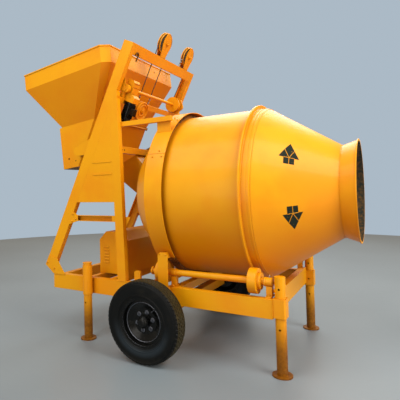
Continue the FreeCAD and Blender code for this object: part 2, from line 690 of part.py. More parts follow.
def drive_bearings():
    blocks = []
    low = drive_seat_z()
    for index, x in enumerate(drive_bearing_places()):
        housing = rod("DriveHousing%d" % index, d.drive_bearing, d.drive_bearing_wide, x, d.pinion_y,
                      pinion_z, "X")
        stand = box("DriveStand%d" % index, d.drive_bearing_wide, d.drive_bearing * 2,
                    pinion_z - low, x, d.pinion_y - d.drive_bearing, low)
        bore = rod("DriveBore%d" % index, d.pinion_shaft + d.run_gap, d.drive_bearing_wide, x,
                   d.pinion_y, pinion_z, "X")
        whole = fuse("DriveBody%d" % index, [housing, stand])
        blocks.append(cut("DriveBlock%d" % index, whole, bore))
    node("drive_bearings", group("DriveBearings", blocks))


# ---- rollers ----------------------------------------------------------------------------------

def roller_shaft(name, side):
    """One turned outline: the shaft, a roller under each ring, a hub and the two collars."""
    rear = d.rear_ring_x + (d.ring_wide - d.roller_wide) / 2
    front = d.front_ring_x + d.roller_set
    steps = [(d.shaft_rear + d.shaft_end, d.shaft_collar_wide, d.shaft_collar),
             (rear, d.roller_wide, d.roller_radius), (front, d.roller_wide, d.roller_radius),
             (front + d.roller_wide, d.roller_hub_long, d.roller_hub),
             (d.front_bearing_x - d.run_gap - d.shaft_collar_wide, d.shaft_collar_wide,
              d.shaft_collar)]
    outline = [(d.shaft_rear, as_size(0)), (d.shaft_rear, d.shaft_radius)]
    for start, wide, radius in steps:
        if radius is d.roller_hub:
            outline.pop()
        else:
            outline.append((start, d.shaft_radius))
        outline += [(start, radius), (start + wide, radius), (start + wide, d.shaft_radius)]
    outline += [(d.shaft_front, d.shaft_radius), (d.shaft_front, as_size(0))]
    shaft = turned("RollerShaft" + name, "XZ", outline)
    node("roller_shaft_" + name, place(shaft, 0, side * roller_y, roller_z))


def bearings():
    pieces = []
    for name, side in SIDES:
        y = side * roller_y
        for index, x in enumerate((d.rear_bearing_x, d.front_bearing_x)):
            tag = "%s%d" % (name, index)
            half = d.stand_wide / 2
            reach = half + d.bearing_lug
            housing = rod("Bearing" + tag, d.bearing_radius, d.bearing_wide, x, y, roller_z, "X")
            stand = box("Stand" + tag, d.bearing_wide, d.stand_wide, d.roller_rise - d.stand_drop,
                        x, y - half, beam_top)
            foot = box("BearingFoot" + tag, d.bearing_wide, reach * 2, d.bearing_base, x,
                       y - reach, beam_top)
            bore = rod("BearingBore" + tag, d.shaft_radius + d.run_gap, d.bearing_wide, x, y,
                       roller_z, "X")
            whole = fuse("BearingBody" + tag, [housing, stand, foot])
            pieces.append(cut("BearingBlock" + tag, whole, bore))
    node("shaft_bearings", group("ShaftBearings", pieces))


# ---- gear guard -------------------------------------------------------------------------------

def guard():
    wide = d.guard_front - d.guard_rear
    cheek = guard_radius - d.guard_cheek
    corners = [(d.guard_rear, cheek), (d.guard_rear, guard_outer), (d.guard_front, guard_outer),
               (d.guard_front, guard_radius), (d.guard_rear + d.guard_thick, guard_radius),
               (d.guard_rear + d.guard_thick, cheek)]
    band = place(turned("GuardBand", "XZ", corners), 0, 0, drum_z)
    open_foot = box("GuardOpenFoot", wide + d.cut_over * 2, guard_outer * 2, guard_foot_z,
                    d.guard_rear - d.cut_over, -guard_outer, 0)
    node("gear_guard", cut("GearGuard", band, open_foot))


def guard_room(name):
    """The space inside the band, kept free of what is welded to its outside."""
    return rod(name, guard_outer, d.guard_front - d.guard_rear + d.guard_post_wide * 2,
               d.guard_rear - d.guard_post_wide, 0, drum_z, "X")


def guard_posts():
    """A chamfered plate outside the rollers, on a spacer, with a tab that meets the band."""
    posts = []
    outside = roller_y + d.roller_radius + d.guard_clear
    left = d.guard_post_x
    right = left + d.guard_post_wide
    low = beam_top - d.guard_post_drop
    top = guard_foot_z + d.guard_post_rise
    bend = d.guard_post_chamfer
    band_y = guard_outer * cosine(d.guard_foot_angle)
    for name, side in SIDES:
        corners = [(left, low), (right, low), (right, top - bend), (right - bend, top),
                   (left + bend, top), (left, top - bend)]
        face = side_plate("GuardFace" + name, side, corners, outside, d.plate_thick)
        spacer = box("GuardSpacer" + name, d.guard_post_wide, outside - half_frame,
                     d.guard_post_drop, left, -outside if side < 0 else half_frame, low)
        tab = box("GuardTab" + name, d.guard_post_wide - bend * 2, outside - band_y,
                  d.guard_post_rise, left + bend, -outside if side < 0 else band_y, guard_foot_z)
        posts.append(fuse("GuardPost" + name, [face, spacer, tab]))
    node("guard_posts", cut("GuardPosts", group("GuardPostPair", posts), guard_room("PostRoom")))


def guard_bars():
    """Bars from the tower posts over the band, each with a plate welded down on the band."""
    bars = []
    low = drum_z + d.strut_rise
    high = low + d.strut_tall
    inner = half_frame - d.strut_inset - d.strut_wide
    corners = [(post_line(post_right, low), low), (d.guard_front, low), (d.guard_front, high),
               (post_line(post_right, high), high)]
    for name, side in SIDES:
        bar = side_plate("GuardStrut" + name, side, corners, inner, d.strut_wide)
        start = -inner - d.strut_plate_thick if side < 0 else inner
        plate = box("StrutPlate" + name, d.strut_plate_long, d.strut_plate_thick, d.strut_rise,
                    d.strut_plate_x, start, drum_z)
        whole = fuse("StrutWhole" + name, [bar, plate])
        bars.append(cut("GuardBar" + name, whole, guard_room("StrutRoom" + name)))
    node("guard_bars", group("GuardBars", bars))


# ---- wheels -----------------------------------------------------------------------------------

def wheel(name, side):
    y = side * wheel_y
    half = d.tyre_width / 2
    corners = [(-d.bead_half, d.bead_radius), (-half, d.bead_radius + d.sidewall_rise),
               (-half + d.shoulder_in, d.tyre_radius)]
    mirrored = [(-across, radius) for across, radius in reversed(corners)]
    tyre = turned("Tyre" + name, "YZ", corners + mirrored)
    node("tyre_" + name, place(tyre, 0, y, d.tyre_radius))
    lip = d.bead_radius + d.lip_high
    seat = d.bead_half + (half - d.bead_half) * d.lip_high / d.sidewall_rise + d.seat_gap
    edge = seat + d.lip_thick
    bore = d.spindle_radius + d.run_gap
    well = d.bead_radius - d.rim_thick
    under = d.bead_radius - d.seat_gap
    dish = d.bead_half - d.dish_inset
    back = dish - d.disc_thick
    profile = [(-d.hub_inward, bore), (-d.hub_inward, d.hub_radius),
               (back - d.dish_step, d.hub_radius), (back - d.dish_step, d.bolt_face),
               (back, d.dish_radius), (back, well), (-edge, well), (-edge, lip), (-seat, lip),
               (-seat, under), (seat, under), (seat, lip), (edge, lip), (edge, well),
               (dish, well), (dish, d.dish_radius), (dish - d.dish_step, d.bolt_face),
               (dish - d.dish_step, d.hub_radius), (d.hub_outward, d.hub_radius),
               (d.hub_outward, bore)]
    profile = [(side * across, radius) for across, radius in profile]
    if side > 0:
        profile.reverse()
    rim = turned("Rim" + name, "YZ", profile)
    node("wheel_" + name, place(rim, 0, y, d.tyre_radius))


# ---- hopper -----------------------------------------------------------------------------------

def plate_face(corners):
    return Part.Face(Part.makePolygon(corners + corners[:1]))


def panelled(rings):
    """A closed solid through rings of corners; a side that isn't flat is folded on a diagonal."""
    faces = [plate_face(rings[0]), plate_face(rings[-1])]
    for upper, lower in zip(rings, rings[1:]):
        for i in range(len(upper)):
            j = (i + 1) % len(upper)
            a, b, c, e = upper[i], upper[j], lower[j], lower[i]
            if abs((b - a).cross(c - a).dot(e - a)) < 1:
                faces.append(plate_face([a, b, c, e]))
            else:
                faces += [plate_face([a, b, c]), plate_face([a, c, e])]
    shell = Part.Shell(faces)
    shell.sewShape()
    solid = Part.makeSolid(shell)
    if solid.Volume < 0:
        solid.reverse()
    return solid


def hopper_ring(left, right, half, chamfer, drop):
    """Six corners of a rectangle at one level below the rim, chamfered at its drum end."""
    return [Vector(-left, -half, -drop), Vector(-right - chamfer, -half, -drop),
            Vector(-right, -half + chamfer, -drop), Vector(-right, half - chamfer, -drop),
            Vector(-right - chamfer, half, -drop), Vector(-left, half, -drop)]


def hopper_form(wall):
    """The hopper's outside, or with a wall its inside: band, sloping panels and neck box."""
    long = d.hopper_long.number - wall
    half = d.hopper_half.number - wall
    bend = d.hopper_chamfer.number
    corner = d.neck_chamfer.number
    right = d.neck_right.number + wall
    neck = d.neck_half.number - wall
    drop = d.neck_drop.number
    low = drop + d.box_drop.number - wall
    step = d.hopper_wall.number / 2
    return panelled([hopper_ring(long, wall, half, bend, -1 if wall else 0),
                     hopper_ring(long, wall, half, bend, d.hopper_band.number),
                     hopper_ring(d.neck_left.number - wall, right, neck, corner, drop),
                     hopper_ring(d.box_left.number - wall, right + d.box_lean.number * step
                                 / d.box_drop.number, neck, corner, drop + step),
                     hopper_ring(d.box_left.number - wall, right + d.box_lean.number, neck, corner,
                                 low)])


def hopper_rim():
    """A flat bar round the outside of the rim."""
    long, half = d.hopper_long.number, d.hopper_half.number
    bend, out, deep = d.hopper_chamfer.number, d.rim_wide.number, d.rim_high.number
    wider = bend + out * (2 - math.sqrt(2))
    outer = panelled([hopper_ring(long + out, -out, half + out, wider, 0),
                      hopper_ring(long + out, -out, half + out, wider, deep)])
    inner = panelled([hopper_ring(long, 0, half, bend, -deep), hopper_ring(long, 0, half, bend,
                                                                          deep * 2)])
    return outer.cut(inner)


def hopper():
    home = Placement(Vector(-d.hopper_x.number, 0, d.hopper_z.number),
                     Rotation(AXES["Y"], -d.hopper_angle.number))
    slope = math.degrees(math.atan2(d.box_lean.number, d.box_drop.number))
    mouth_half = d.neck_half.number - d.gate_inset.number
    top = Vector(-d.neck_right.number, 0, -d.neck_drop.number)
    wall = d.hopper_wall.number
    hole = Part.makeBox(wall * 4, mouth_half * 2, d.box_drop.number - d.gate_inset.number,
                        Vector(-wall * 2, -mouth_half, -d.box_drop.number))
    lay = Placement(top, Rotation(AXES["Y"], slope)).toMatrix()
    away = d.gate_gap.number + d.gate_pin.number
    leaf_half = mouth_half + d.gate_lap.number
    body = hopper_form(0).fuse(hopper_rim()).cut(hopper_form(wall)).cut(hole.transformed(lay, True))
    lug_high = d.gate_lug_wide.number
    sunk = d.cut_over.number
    lug_y = leaf_half + d.gate_lug.number
    for side in (-1, 1):
        lug = Part.makeBox(away + lug_high / 2 + sunk, d.gate_lug.number, lug_high,
                           Vector(-sunk, side * lug_y - d.gate_lug.number / 2, -lug_high / 2))
        eye = Part.makeCylinder(d.gate_pin.number + d.run_gap.number, d.gate_lug.number * 2,
                                Vector(away, side * lug_y - d.gate_lug.number, 0), AXES["Y"])
        body = body.fuse(lug.cut(eye).transformed(lay, True))
        x, z = on_rail(d.boss_along, d.boss_across)
        start = side * d.neck_half.number
        boss = Part.makeCylinder(d.boss_radius.number, d.boss_thick.number,
                                 Vector(float(x), start, float(z)), Vector(0, side, 0))
        body = body.fuse(boss.transformed(home.inverse().toMatrix(), True))
    shell = doc.addObject("Part::Feature", "HopperShell")
    shell.Shape = body.removeSplitter()
    place(shell, -d.hopper_x, 0, d.hopper_z, ("Y", -d.hopper_angle))
    node("hopper", shell)

    leaf_tall = (d.box_drop + d.gate_over).number
    leaf = Part.makeBox(d.gate_thick.number, leaf_half * 2, leaf_tall,
                        Vector(d.gate_gap.number, -leaf_half, -leaf_tall))
    pin = Part.makeCylinder(d.gate_pin.number, (lug_y + d.gate_lug.number) * 2,
                            Vector(away, -lug_y - d.gate_lug.number, 0), AXES["Y"])
    gate = doc.addObject("Part::Feature", "HopperGate")
    gate.Shape = leaf.fuse(pin).transformed(lay, True)
    node("hopper_gate", place(gate, -d.hopper_x, 0, d.hopper_z, ("Y", -d.hopper_angle)))


def hopper_carriage():
    """On each side a plate along the rail, with two rollers in it and an arm to the trunnion."""
    carriers = []
    radius = rail_edge - d.flange_thick - d.run_gap
    outer = half_frame - d.rail_flange - d.carrier_gap
    inner = outer - d.carrier_thick
    roller_start = half_frame - d.web_thick - d.hopper_roller_wide - d.hopper_roller_gap
    low = d.roller_low - d.carrier_over
    high = d.roller_low + d.roller_pitch + d.carrier_over
    edge = d.carrier_wide / 2
    boss = d.boss_radius
    for name, side in SIDES:
        corners = [(low, edge), (high, edge), (high, -edge), (low + d.carrier_wide * 2, -edge),
                   (d.boss_along + boss, d.boss_across - boss / 2),
                   (d.boss_along + boss / 2, d.boss_across - boss),
                   (d.boss_along - boss / 2, d.boss_across - boss),
                   (d.boss_along - boss, d.boss_across - boss / 2),
                   (d.boss_along - boss, d.boss_across + boss / 2)]
        corners = [on_rail(along, across) for along, across in reversed(corners)]
        pieces = [side_plate("Carrier" + name, side, corners, inner, d.carrier_thick)]
        for index in range(2):
            x, z = on_rail(d.roller_low + d.roller_pitch * index, as_size(0))
            y = roller_start if side > 0 else -roller_start - d.hopper_roller_wide
            pieces.append(rod("HopperRoller%s%d" % (name, index), radius, d.hopper_roller_wide,
                              x, y, z, "Y"))
            y = inner if side > 0 else -roller_start
            pieces.append(rod("HopperPin%s%d" % (name, index), d.hopper_pin, roller_start - inner,
                              x, y, z, "Y"))
        x, z = on_rail(d.boss_along, d.boss_across)
        start = d.neck_half + d.boss_thick
        y = start if side > 0 else -inner
        pieces.append(rod("Trunnion" + name, d.trunnion_radius, inner - start, x, y, z, "Y"))
        carriers.append(fuse("Carriage" + name, pieces))
    node("hopper_carriage", group("HopperCarriage", carriers))


def chute_form(wall):
    """The feed chute's outside, or with a wall its inside, open at both ends."""
    over = 1 if wall else 0
    left = -d.chute_left.number + wall
    right = (cross_bar_x + d.cross_bar_wide / 2).number - wall
    half = d.chute_half.number - wall
    low, high = d.chute_low.number + over, d.cross_bar_z.number + over
    top = [Vector(left, -half, low), Vector(left, half, low), Vector(right, half, high),
           Vector(right, -half, high)]
    x = -d.spout_x.number + over
    half = d.spout_half.number - wall
    low = (drum_z - d.spout_drop).number + wall
    high = low + d.spout_tall.number - wall * 2
    end = [Vector(x, -half, low), Vector(x, half, low), Vector(x, half, high), Vector(x, -half, high)]
    return panelled([top, end])


def chute():
    body = doc.addObject("Part::Feature", "FeedChute")
    body.Shape = chute_form(0).cut(chute_form(d.chute_wall.number))
    node("feed_chute", body)


# ---- drive cover ------------------------------------------------------------------------------

def cover_outline(wall):
    left, right, top = -d.cover_left + wall, -d.cover_right - wall, beam_top + d.cover_tall - wall
    bend = d.cover_chamfer
    return [(left, beam_top), (right, beam_top), (right, top - bend + wall),
            (right - bend + wall, top), (left + bend - wall, top), (left, top - bend + wall)]


def motor_cover():
    """A chamfered sheet cover with a column of hooded slots in its near side."""
    long = d.cover_near + d.cover_far
    outer = padded("CoverOuter", "XZ", cover_outline(as_size(0)), -d.cover_far, long)
    inner = padded("CoverInner", "XZ", cover_outline(d.cover_wall), -d.cover_far + d.cover_wall,
                   long - d.cover_wall * 2)
    shell = cut("CoverShell", outer, inner)
    slots = []
    hoods = []
    left = -d.cover_left + d.louvre_set
    for index in range(int(d.louvre_count.number)):
        z = d.louvre_low + d.louvre_pitch * index
        slots.append(box("LouvreSlot%d" % index, d.louvre_long, d.cover_wall + d.cut_over * 2,
                         d.louvre_tall, left, -d.cover_near - d.cut_over, z))
        section = [(-d.cover_near, z + d.louvre_tall), (-d.cover_near - d.louvre_out, z),
                   (-d.cover_near - d.louvre_out, z + d.cover_wall / 2),
                   (-d.cover_near, z + d.louvre_tall + d.cover_wall)]
        hoods.append(padded("LouvreHood%d" % index, "YZ", section, left, d.louvre_long))
    slotted = cut("CoverSlotted", shell, fuse("LouvreSlots", slots))
    node("motor_cover", fuse("MotorCover", [slotted] + hoods))


# ---- hoist on the tower -----------------------------------------------------------------------

hoist_half = half_frame - d.hoist_inset
bearing_y = half_frame - d.hoist_bearing_inset
gear_case_y = half_frame - d.gear_case_inset
gear_case_top = d.hoist_along + d.gear_case_rise
low_sheave_y = d.low_sheave_inset - half_frame
low_sheave_along = d.hoist_along - d.low_sheave_drop


def rope_drum_outline():
    """Outline along the shaft's axis, with the flanged rope drum near its far end."""
    rim = d.drum_flange_thick
    start = half_frame - d.rope_drum_inset - d.rope_drum_wide / 2
    end = start + d.rope_drum_wide
    return [(-hoist_half, as_size(0)), (-hoist_half, d.hoist_radius), (start, d.hoist_radius),
            (start, d.drum_flange), (start + rim, d.drum_flange), (start + rim, d.rope_drum_radius),
            (end - rim, d.rope_drum_radius), (end - rim, d.drum_flange), (end, d.drum_flange),
            (end, d.hoist_radius), (hoist_half, d.hoist_radius), (hoist_half, as_size(0))]


def hoist():
    x, z = on_rail(d.hoist_along, d.hoist_across)
    node("hoist_shaft", place(turned("HoistShaft", "YZ", rope_drum_outline()), x, 0, z))
    bearing = d.hoist_bearing_radius
    frame = [hoist_beam("HoistBeam")]
    bores = []
    places = (("near", -bearing_y - d.hoist_bearing_wide), ("far", bearing_y))
    for name, y in places:
        wide = d.hoist_bearing_wide
        frame.append(rod("HoistHousing" + name, bearing, wide, x, y, z, "Y"))
        stand_x, stand_z = on_rail(hoist_beam_high, rail_edge)
        frame.append(box("HoistStand" + name, d.hoist_beam_deep, wide, d.hoist_along - hoist_beam_high,
                         stand_x, y, stand_z, ("Y", d.rail_angle)))
        bores.append(rod("HoistBore" + name, d.hoist_radius + d.run_gap, wide, x, y, z, "Y"))
    plate_across = rail_edge + d.hoist_beam_deep
    plate_low = low_sheave_along - d.low_sheave_pin * 2
    plate_x, plate_z = on_rail(plate_low, plate_across)
    wide = d.low_sheave_pin * 5
    frame.append(box("LowSheavePlate", d.cheek_thick, wide, hoist_beam_high - plate_low,
                     plate_x, low_sheave_y - wide / 2, plate_z, ("Y", d.rail_angle)))
    pin_x, pin_z = on_rail(low_sheave_along, plate_across)
    pin = rod("LowSheavePin", d.low_sheave_pin, d.low_sheave_across - plate_across + d.sheave_wide,
              0, 0, 0)
    place(pin, pin_x, low_sheave_y, pin_z, ("Y", d.rail_angle + 90))
    frame.append(pin)
    whole = fuse("HoistFrame", frame)
    node("hoist_bearings", cut("HoistBearings", whole, fuse("HoistBores", bores)))
    hoist_drive(x, z)


def hoist_drive(shaft_x, shaft_z):
    """A gear case stands on the hoist beam round the shaft, with its motor hung below."""
    beam_face = rail_edge + d.hoist_beam_deep
    bend = d.gear_case_chamfer
    foot = d.hoist_along - d.gear_case_drop
    step = foot + d.gear_case_step
    corners = [(hoist_beam_high, rail_edge), (hoist_beam_high, beam_face), (foot, beam_face),
               (foot, d.gear_case_out), (step, d.gear_case_out),
               (step + bend, d.gear_case_mid), (gear_case_top - bend, d.gear_case_mid),
               (gear_case_top, d.gear_case_mid - bend), (gear_case_top, rail_edge)]
    corners = [on_rail(along, across) for along, across in corners]
    case = side_plate("GearCase", -1, corners, gear_case_y, d.gear_case_wide)
    bore = rod("GearCaseBore", d.hoist_radius + d.run_gap, d.gear_case_wide, shaft_x,
               -gear_case_y - d.gear_case_wide, shaft_z, "Y")
    node("hoist_gear_case", cut("HoistGearCase", case, bore))
    y = -gear_case_y - d.gear_case_wide / 2
    pieces = []
    for name, radius, low, long in (("Body", d.motor_radius, foot - d.motor_long, d.motor_long),
                                    ("Cap", d.motor_cap, foot - d.motor_long - d.motor_cap_long,
                                     d.motor_cap_long)):
        x, z = on_rail(low, d.motor_across)
        part = rod("HoistMotor" + name, radius, long, 0, 0, 0)
        pieces.append(place(part, x, y, z, ("Y", d.rail_angle)))
    node("hoist_motor", fuse("HoistMotor", pieces))


def sheave(name, radius, bore, x, y, z):
    """A rope wheel whose axis lies square to the rails."""
    half = d.sheave_wide / 2
    deep = radius - d.sheave_groove
    corners = [(-half, bore), (half, bore), (half, radius), (half * 0.6, radius),
               (half * 0.3, deep), (-half * 0.3, deep), (-half * 0.6, radius), (-half, radius)]
    disc = turned("Sheave" + name, "XZ", corners)
    node("sheave_" + name, place(disc, x, y, z, ("Y", d.rail_angle)))


def sheaves():
    cheeks = []
    along = d.rail_long + d.sheave_rise
    reach = d.sheave_wide / 2 + d.sheave_side_gap
    half = d.cheek_wide / 2
    bend = d.cheek_chamfer
    corners = [(-half, -d.sheave_rise), (half, -d.sheave_rise), (half, d.cheek_over - bend),
               (half - bend, d.cheek_over), (-half + bend, d.cheek_over), (-half, d.cheek_over - bend)]
    for name, y in (("middle", d.sheave_middle_y), ("far", d.sheave_far_y)):
        x, z = on_rail(along, d.sheave_across)
        sheave(name, d.sheave_radius, d.sheave_pin + d.run_gap, x, y, z)
        for index, offset in enumerate((-reach - d.cheek_thick, reach)):
            plate = padded("Cheek%s%d" % (name, index), "YZ", corners, 0, d.cheek_thick)
            plate_x, plate_z = on_rail(along, d.sheave_across + offset)
            cheeks.append(place(plate, plate_x, y, plate_z, ("Y", d.rail_angle)))
        pin = rod("SheavePin" + name, d.sheave_pin, reach * 2, 0, 0, 0)
        pin_x, pin_z = on_rail(along, d.sheave_across - reach)
        cheeks.append(place(pin, pin_x, y, pin_z, ("Y", d.rail_angle + 90)))
    node("sheave_cheeks", fuse("SheaveCheeks", cheeks))
    x, z = on_rail(low_sheave_along, d.low_sheave_across)
    sheave("low", d.low_sheave_radius, d.low_sheave_pin + d.run_gap, x, low_sheave_y, z)


# ---- assembly ---------------------------------------------------------------------------------

for side_name, side_sign in SIDES:
    side_beam(side_name, side_sign)
    rail(side_name, side_sign)
    post(side_name, side_sign)
    roller_shaft(side_name, side_sign)
    wheel(side_name, side_sign)
end_beams()
cross_members()
axle()
legs()
top_beam()
tower_bars()
drum()
mixing_blades()
gear_pair()
drive_bearings()
bearings()
guard()
guard_posts()
guard_bars()
hopper()
hopper_carriage()
chute()
motor_cover()
hoist()
sheaves()
doc.recompute()

for thing in doc.Objects:
    if "Invalid" in thing.State or "Error" in thing.State:
        raise RuntimeError("%s failed: %s" % (thing.Name, thing.State))
labels = [piece.Label for piece in nodes]
if len(set(labels)) != len(labels):
    raise RuntimeError("two pieces share a label")

os.makedirs("parts", exist_ok=True)
left = min(piece.Shape.BoundBox.XMin for piece in nodes)
right = max(piece.Shape.BoundBox.XMax for piece in nodes)
middle = Vector(-(left + right) / 2, 0, 0)
for piece in nodes:
    shape = piece.Shape.copy()
    if shape.isNull() or not shape.isValid():
        raise RuntimeError("%s has no valid shape" % piece.Label)
    shape.translate(middle)
    shape.exportStep("parts/%s.step" % piece.Label)
print("%d pieces, centred by %.2f, drum axis at %.2f" % (len(nodes), middle.x, drum_z.number))
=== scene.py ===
import json
import math

import bmesh
import bpy
from mathutils import Matrix, Vector


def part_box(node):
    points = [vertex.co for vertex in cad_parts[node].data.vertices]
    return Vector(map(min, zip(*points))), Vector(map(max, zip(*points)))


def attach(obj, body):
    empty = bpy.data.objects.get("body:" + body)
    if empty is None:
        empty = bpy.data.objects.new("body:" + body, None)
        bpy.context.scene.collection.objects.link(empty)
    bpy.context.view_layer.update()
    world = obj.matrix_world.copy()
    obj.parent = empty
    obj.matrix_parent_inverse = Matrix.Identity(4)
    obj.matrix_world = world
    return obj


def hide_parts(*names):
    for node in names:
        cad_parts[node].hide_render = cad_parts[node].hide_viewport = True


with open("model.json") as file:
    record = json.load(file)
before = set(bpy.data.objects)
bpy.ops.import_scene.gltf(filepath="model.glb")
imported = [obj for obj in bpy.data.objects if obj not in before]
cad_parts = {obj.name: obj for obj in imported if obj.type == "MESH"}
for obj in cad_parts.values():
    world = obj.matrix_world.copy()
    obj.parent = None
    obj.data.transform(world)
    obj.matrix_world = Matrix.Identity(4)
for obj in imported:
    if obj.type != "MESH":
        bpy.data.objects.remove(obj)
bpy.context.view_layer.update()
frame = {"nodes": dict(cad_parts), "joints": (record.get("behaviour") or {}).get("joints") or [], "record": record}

scene = bpy.context.scene
nodes = frame["nodes"]
axleLow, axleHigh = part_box("axle")
axleX = (axleLow.x + axleHigh.x) / 2
print("frame loaded:", len(nodes), "pieces")


class Link:  # a socket that can be written into expressions
    def __init__(self, paint, socket):
        self.paint = paint
        self.socket = socket

    def __add__(self, other):
        return self.paint.maths("ADD", self, other)

    def __radd__(self, other):
        return self.paint.maths("ADD", other, self)

    def __sub__(self, other):
        return self.paint.maths("SUBTRACT", self, other)

    def __rsub__(self, other):
        return self.paint.maths("SUBTRACT", other, self)

    def __mul__(self, other):
        return self.paint.maths("MULTIPLY", self, other)

    def __rmul__(self, other):
        return self.paint.maths("MULTIPLY", other, self)

    def __lt__(self, other):
        return self.paint.maths("LESS_THAN", self, other)

    def between(self, low, high):  # 0 below low, 1 above high, smooth in between
        return self.paint.add("MapRange", {"interpolation_type": "SMOOTHSTEP"},
                              {"Value": self, "From Min": low, "From Max": high})


class Paint:  # one material and the nodes behind its Principled shader
    def __init__(self, name):
        self.material = bpy.data.materials.new(name)
        self.material.use_nodes = True
        self.tree = self.material.node_tree
        self.tree.nodes.clear()
        self.surface = self.add("BsdfPrincipled")
        out = self.tree.nodes.new("ShaderNodeOutputMaterial")
        self.tree.links.new(self.surface.socket, out.inputs["Surface"])

    def add(self, kind, settings=None, inputs=None, output=0):
        node = self.tree.nodes.new("ShaderNode" + kind)
        for key, value in (settings or {}).items():
            setattr(node, key, value)
        for key, value in (inputs or {}).items():
            self.feed(node.inputs[key], value)
        return Link(self, node.outputs[output])

    def feed(self, socket, value):
        if isinstance(value, Link):
            self.tree.links.new(value.socket, socket)
        else:
            socket.default_value = value

    def maths(self, operation, first, second):
        return self.add("Math", {"operation": operation}, {0: first, 1: second})

    def vector(self, operation, first, second):
        output = "Value" if operation == "DOT_PRODUCT" else "Vector"
        return self.add("VectorMath", {"operation": operation}, {0: first, 1: second}, output)

    def mix(self, factor, first, second):
        first, second = [c if isinstance(c, Link) else (*c, 1.0) for c in (first, second)]
        return self.add("Mix", {"data_type": "RGBA", "clamp_factor": True},
                        {0: factor, 6: first, 7: second}, 2)

    def cloud(self, where, scale, detail=3.0, rough=0.5):
        return self.add("TexNoise", None, {"Vector": where, "Scale": scale, "Detail": detail,
                                           "Roughness": rough})

    def place(self):
        return self.add("TexCoord", None, None, "Object")

    def height(self, where):
        return self.add("SeparateXYZ", None, {"Vector": where}, "Z")

    def bump(self, height, distance, strength=1.0, normal=None):
        inputs = {"Height": height, "Distance": distance, "Strength": strength}
        if normal:
            inputs["Normal"] = normal
        return self.add("Bump", None, inputs)

    def rounded(self, radius):  # catches light along sheet edges
        return self.add("Bevel", {"samples": 4}, {"Radius": radius})

    def edges(self, rounded, low, high):  # 1 along sharp edges
        flat = self.add("NewGeometry", None, None, "Normal")
        return (1 - self.vector("DOT_PRODUCT", rounded, flat)).between(low, high)

    def crevice(self, reach):  # 1 deep in corners: where painted shade goes
        openness = self.add("AmbientOcclusion", {"samples": 4}, {"Distance": reach}, "AO")
        return 1 - openness.between(0.25, 0.95)

    def underside(self):  # 0 on faces that look up or sideways, 1 on those that look down: where painted shade goes
        normal = self.add("NewGeometry", None, None, "Normal")
        return 1 - self.height(normal).between(-0.75, 0.12)

    def inward(self, where, centre, across):  # 1 on faces that look toward an axis or a middle
        arm = self.vector("MULTIPLY", self.vector("SUBTRACT", where, centre), across)
        facing = self.add("TexCoord", None, None, "Normal")
        return self.vector("DOT_PRODUCT", facing, arm) < -0.002

    def finish(self, **inputs):
        shader = self.surface.socket.node
        names = {"color": "Base Color", "coat": "Coat Weight", "coatRoughness": "Coat Roughness",
                 "specular": "Specular IOR Level"}
        for key, value in inputs.items():
            self.feed(shader.inputs[names.get(key, key.capitalize())], value)
        return self.material


# enamel colours are linear; dust gathers low down; painted shade darkens faces that look down, corners and a band
# near the floor; inside the vessels the colour is cement residue, near black in the drum as painted shade
enamel = {"lit": (0.86, 0.378, 0.002), "deep": (0.84, 0.305, 0.001), "undersideShade": (0.70, 0.185, 0.0005),
          "dust": (0.62, 0.36, 0.09), "primer": (0.26, 0.10, 0.02), "cornerShade": (0.42, 0.12, 0.002),
          "floorShade": (0.12, 0.036, 0.002), "cementInShade": (0.020, 0.024, 0.019), "edgeRadius": 0.004,
          "roughness": 0.38, "coat": 0.07, "coatRoughness": 0.12, "specular": 0.19,
          "broad": 2.3, "fine": 38.0, "speck": 160.0, "peel": 420.0, "crust": 26.0,
          "lowHeights": (0.14, 0.54), "creviceReach": 0.09}


def enamelPaint(name, dustLevel=0.25, inside=None, insideColour=None):
    paint = Paint(name)
    where = paint.place()
    broad = paint.cloud(where, enamel["broad"], 4.0)
    fine = paint.cloud(where, enamel["fine"], 5.0, 0.6)
    speck = paint.cloud(where, enamel["speck"], 4.0, 0.6)
    rounded = paint.rounded(enamel["edgeRadius"])
    # low is 1 near the floor: it adds to the dust and brings in painted shade there
    low = 1 - paint.height(where).between(*enamel["lowHeights"])
    dust = ((broad + low * 0.4) * fine * (1.2 * dustLevel)).between(0.05, 0.55)
    chip = paint.edges(rounded, 0.02, 0.25) * (speck * fine).between(0.34, 0.41)
    colour = paint.mix(broad.between(0.35, 0.7), enamel["lit"], enamel["deep"])
    # painted shade: the underside, corner and floor-band tones darken the colour where shade falls; dust and
    # chipped primer are real marks
    for share, tone in ((paint.underside() * 0.75, "undersideShade"),
                        (paint.crevice(enamel["creviceReach"]) * 0.6, "cornerShade"),
                        (dust * 0.35, "dust"), (low * (0.6 + fine * 0.5), "floorShade"),
                        (chip * 0.6, "primer")):
        colour = paint.mix(share, colour, enamel[tone])
    gloss = enamel["roughness"] + fine * 0.1 + dust * 0.35
    coat = enamel["coat"] - dust * 0.4
    peel = paint.bump(paint.cloud(where, enamel["peel"], 2.0), 0.0004, 0.25, rounded)
    # inside faces take the residue colour; the drum's near-black cement is painted shade inside it as well as
    # residue
    if inside:
        within = paint.inward(where, *inside)
        insideDarkShare = within * (0.86 + fine.between(0.3, 0.6) * 0.14)
        colour = paint.mix(insideDarkShare, colour, insideColour or enamel["cementInShade"])
        gloss = gloss + within * 0.4
        coat = coat * (1 - within)
        crust = paint.cloud(where, enamel["crust"], 6.0, 0.65) * within
        peel = paint.bump(crust, 0.0015, 0.5, peel)
    return paint.finish(color=colour, roughness=gloss, normal=peel, coat=coat,
                        coatRoughness=enamel["coatRoughness"], specular=enamel["specular"])


wheelCoat = {"black": (0.0032, 0.0036, 0.0034), "dust": (0.05, 0.042, 0.03), "grain": 30.0,
             "edgeRadius": 0.006, "roughness": 0.2, "specular": 0.22}


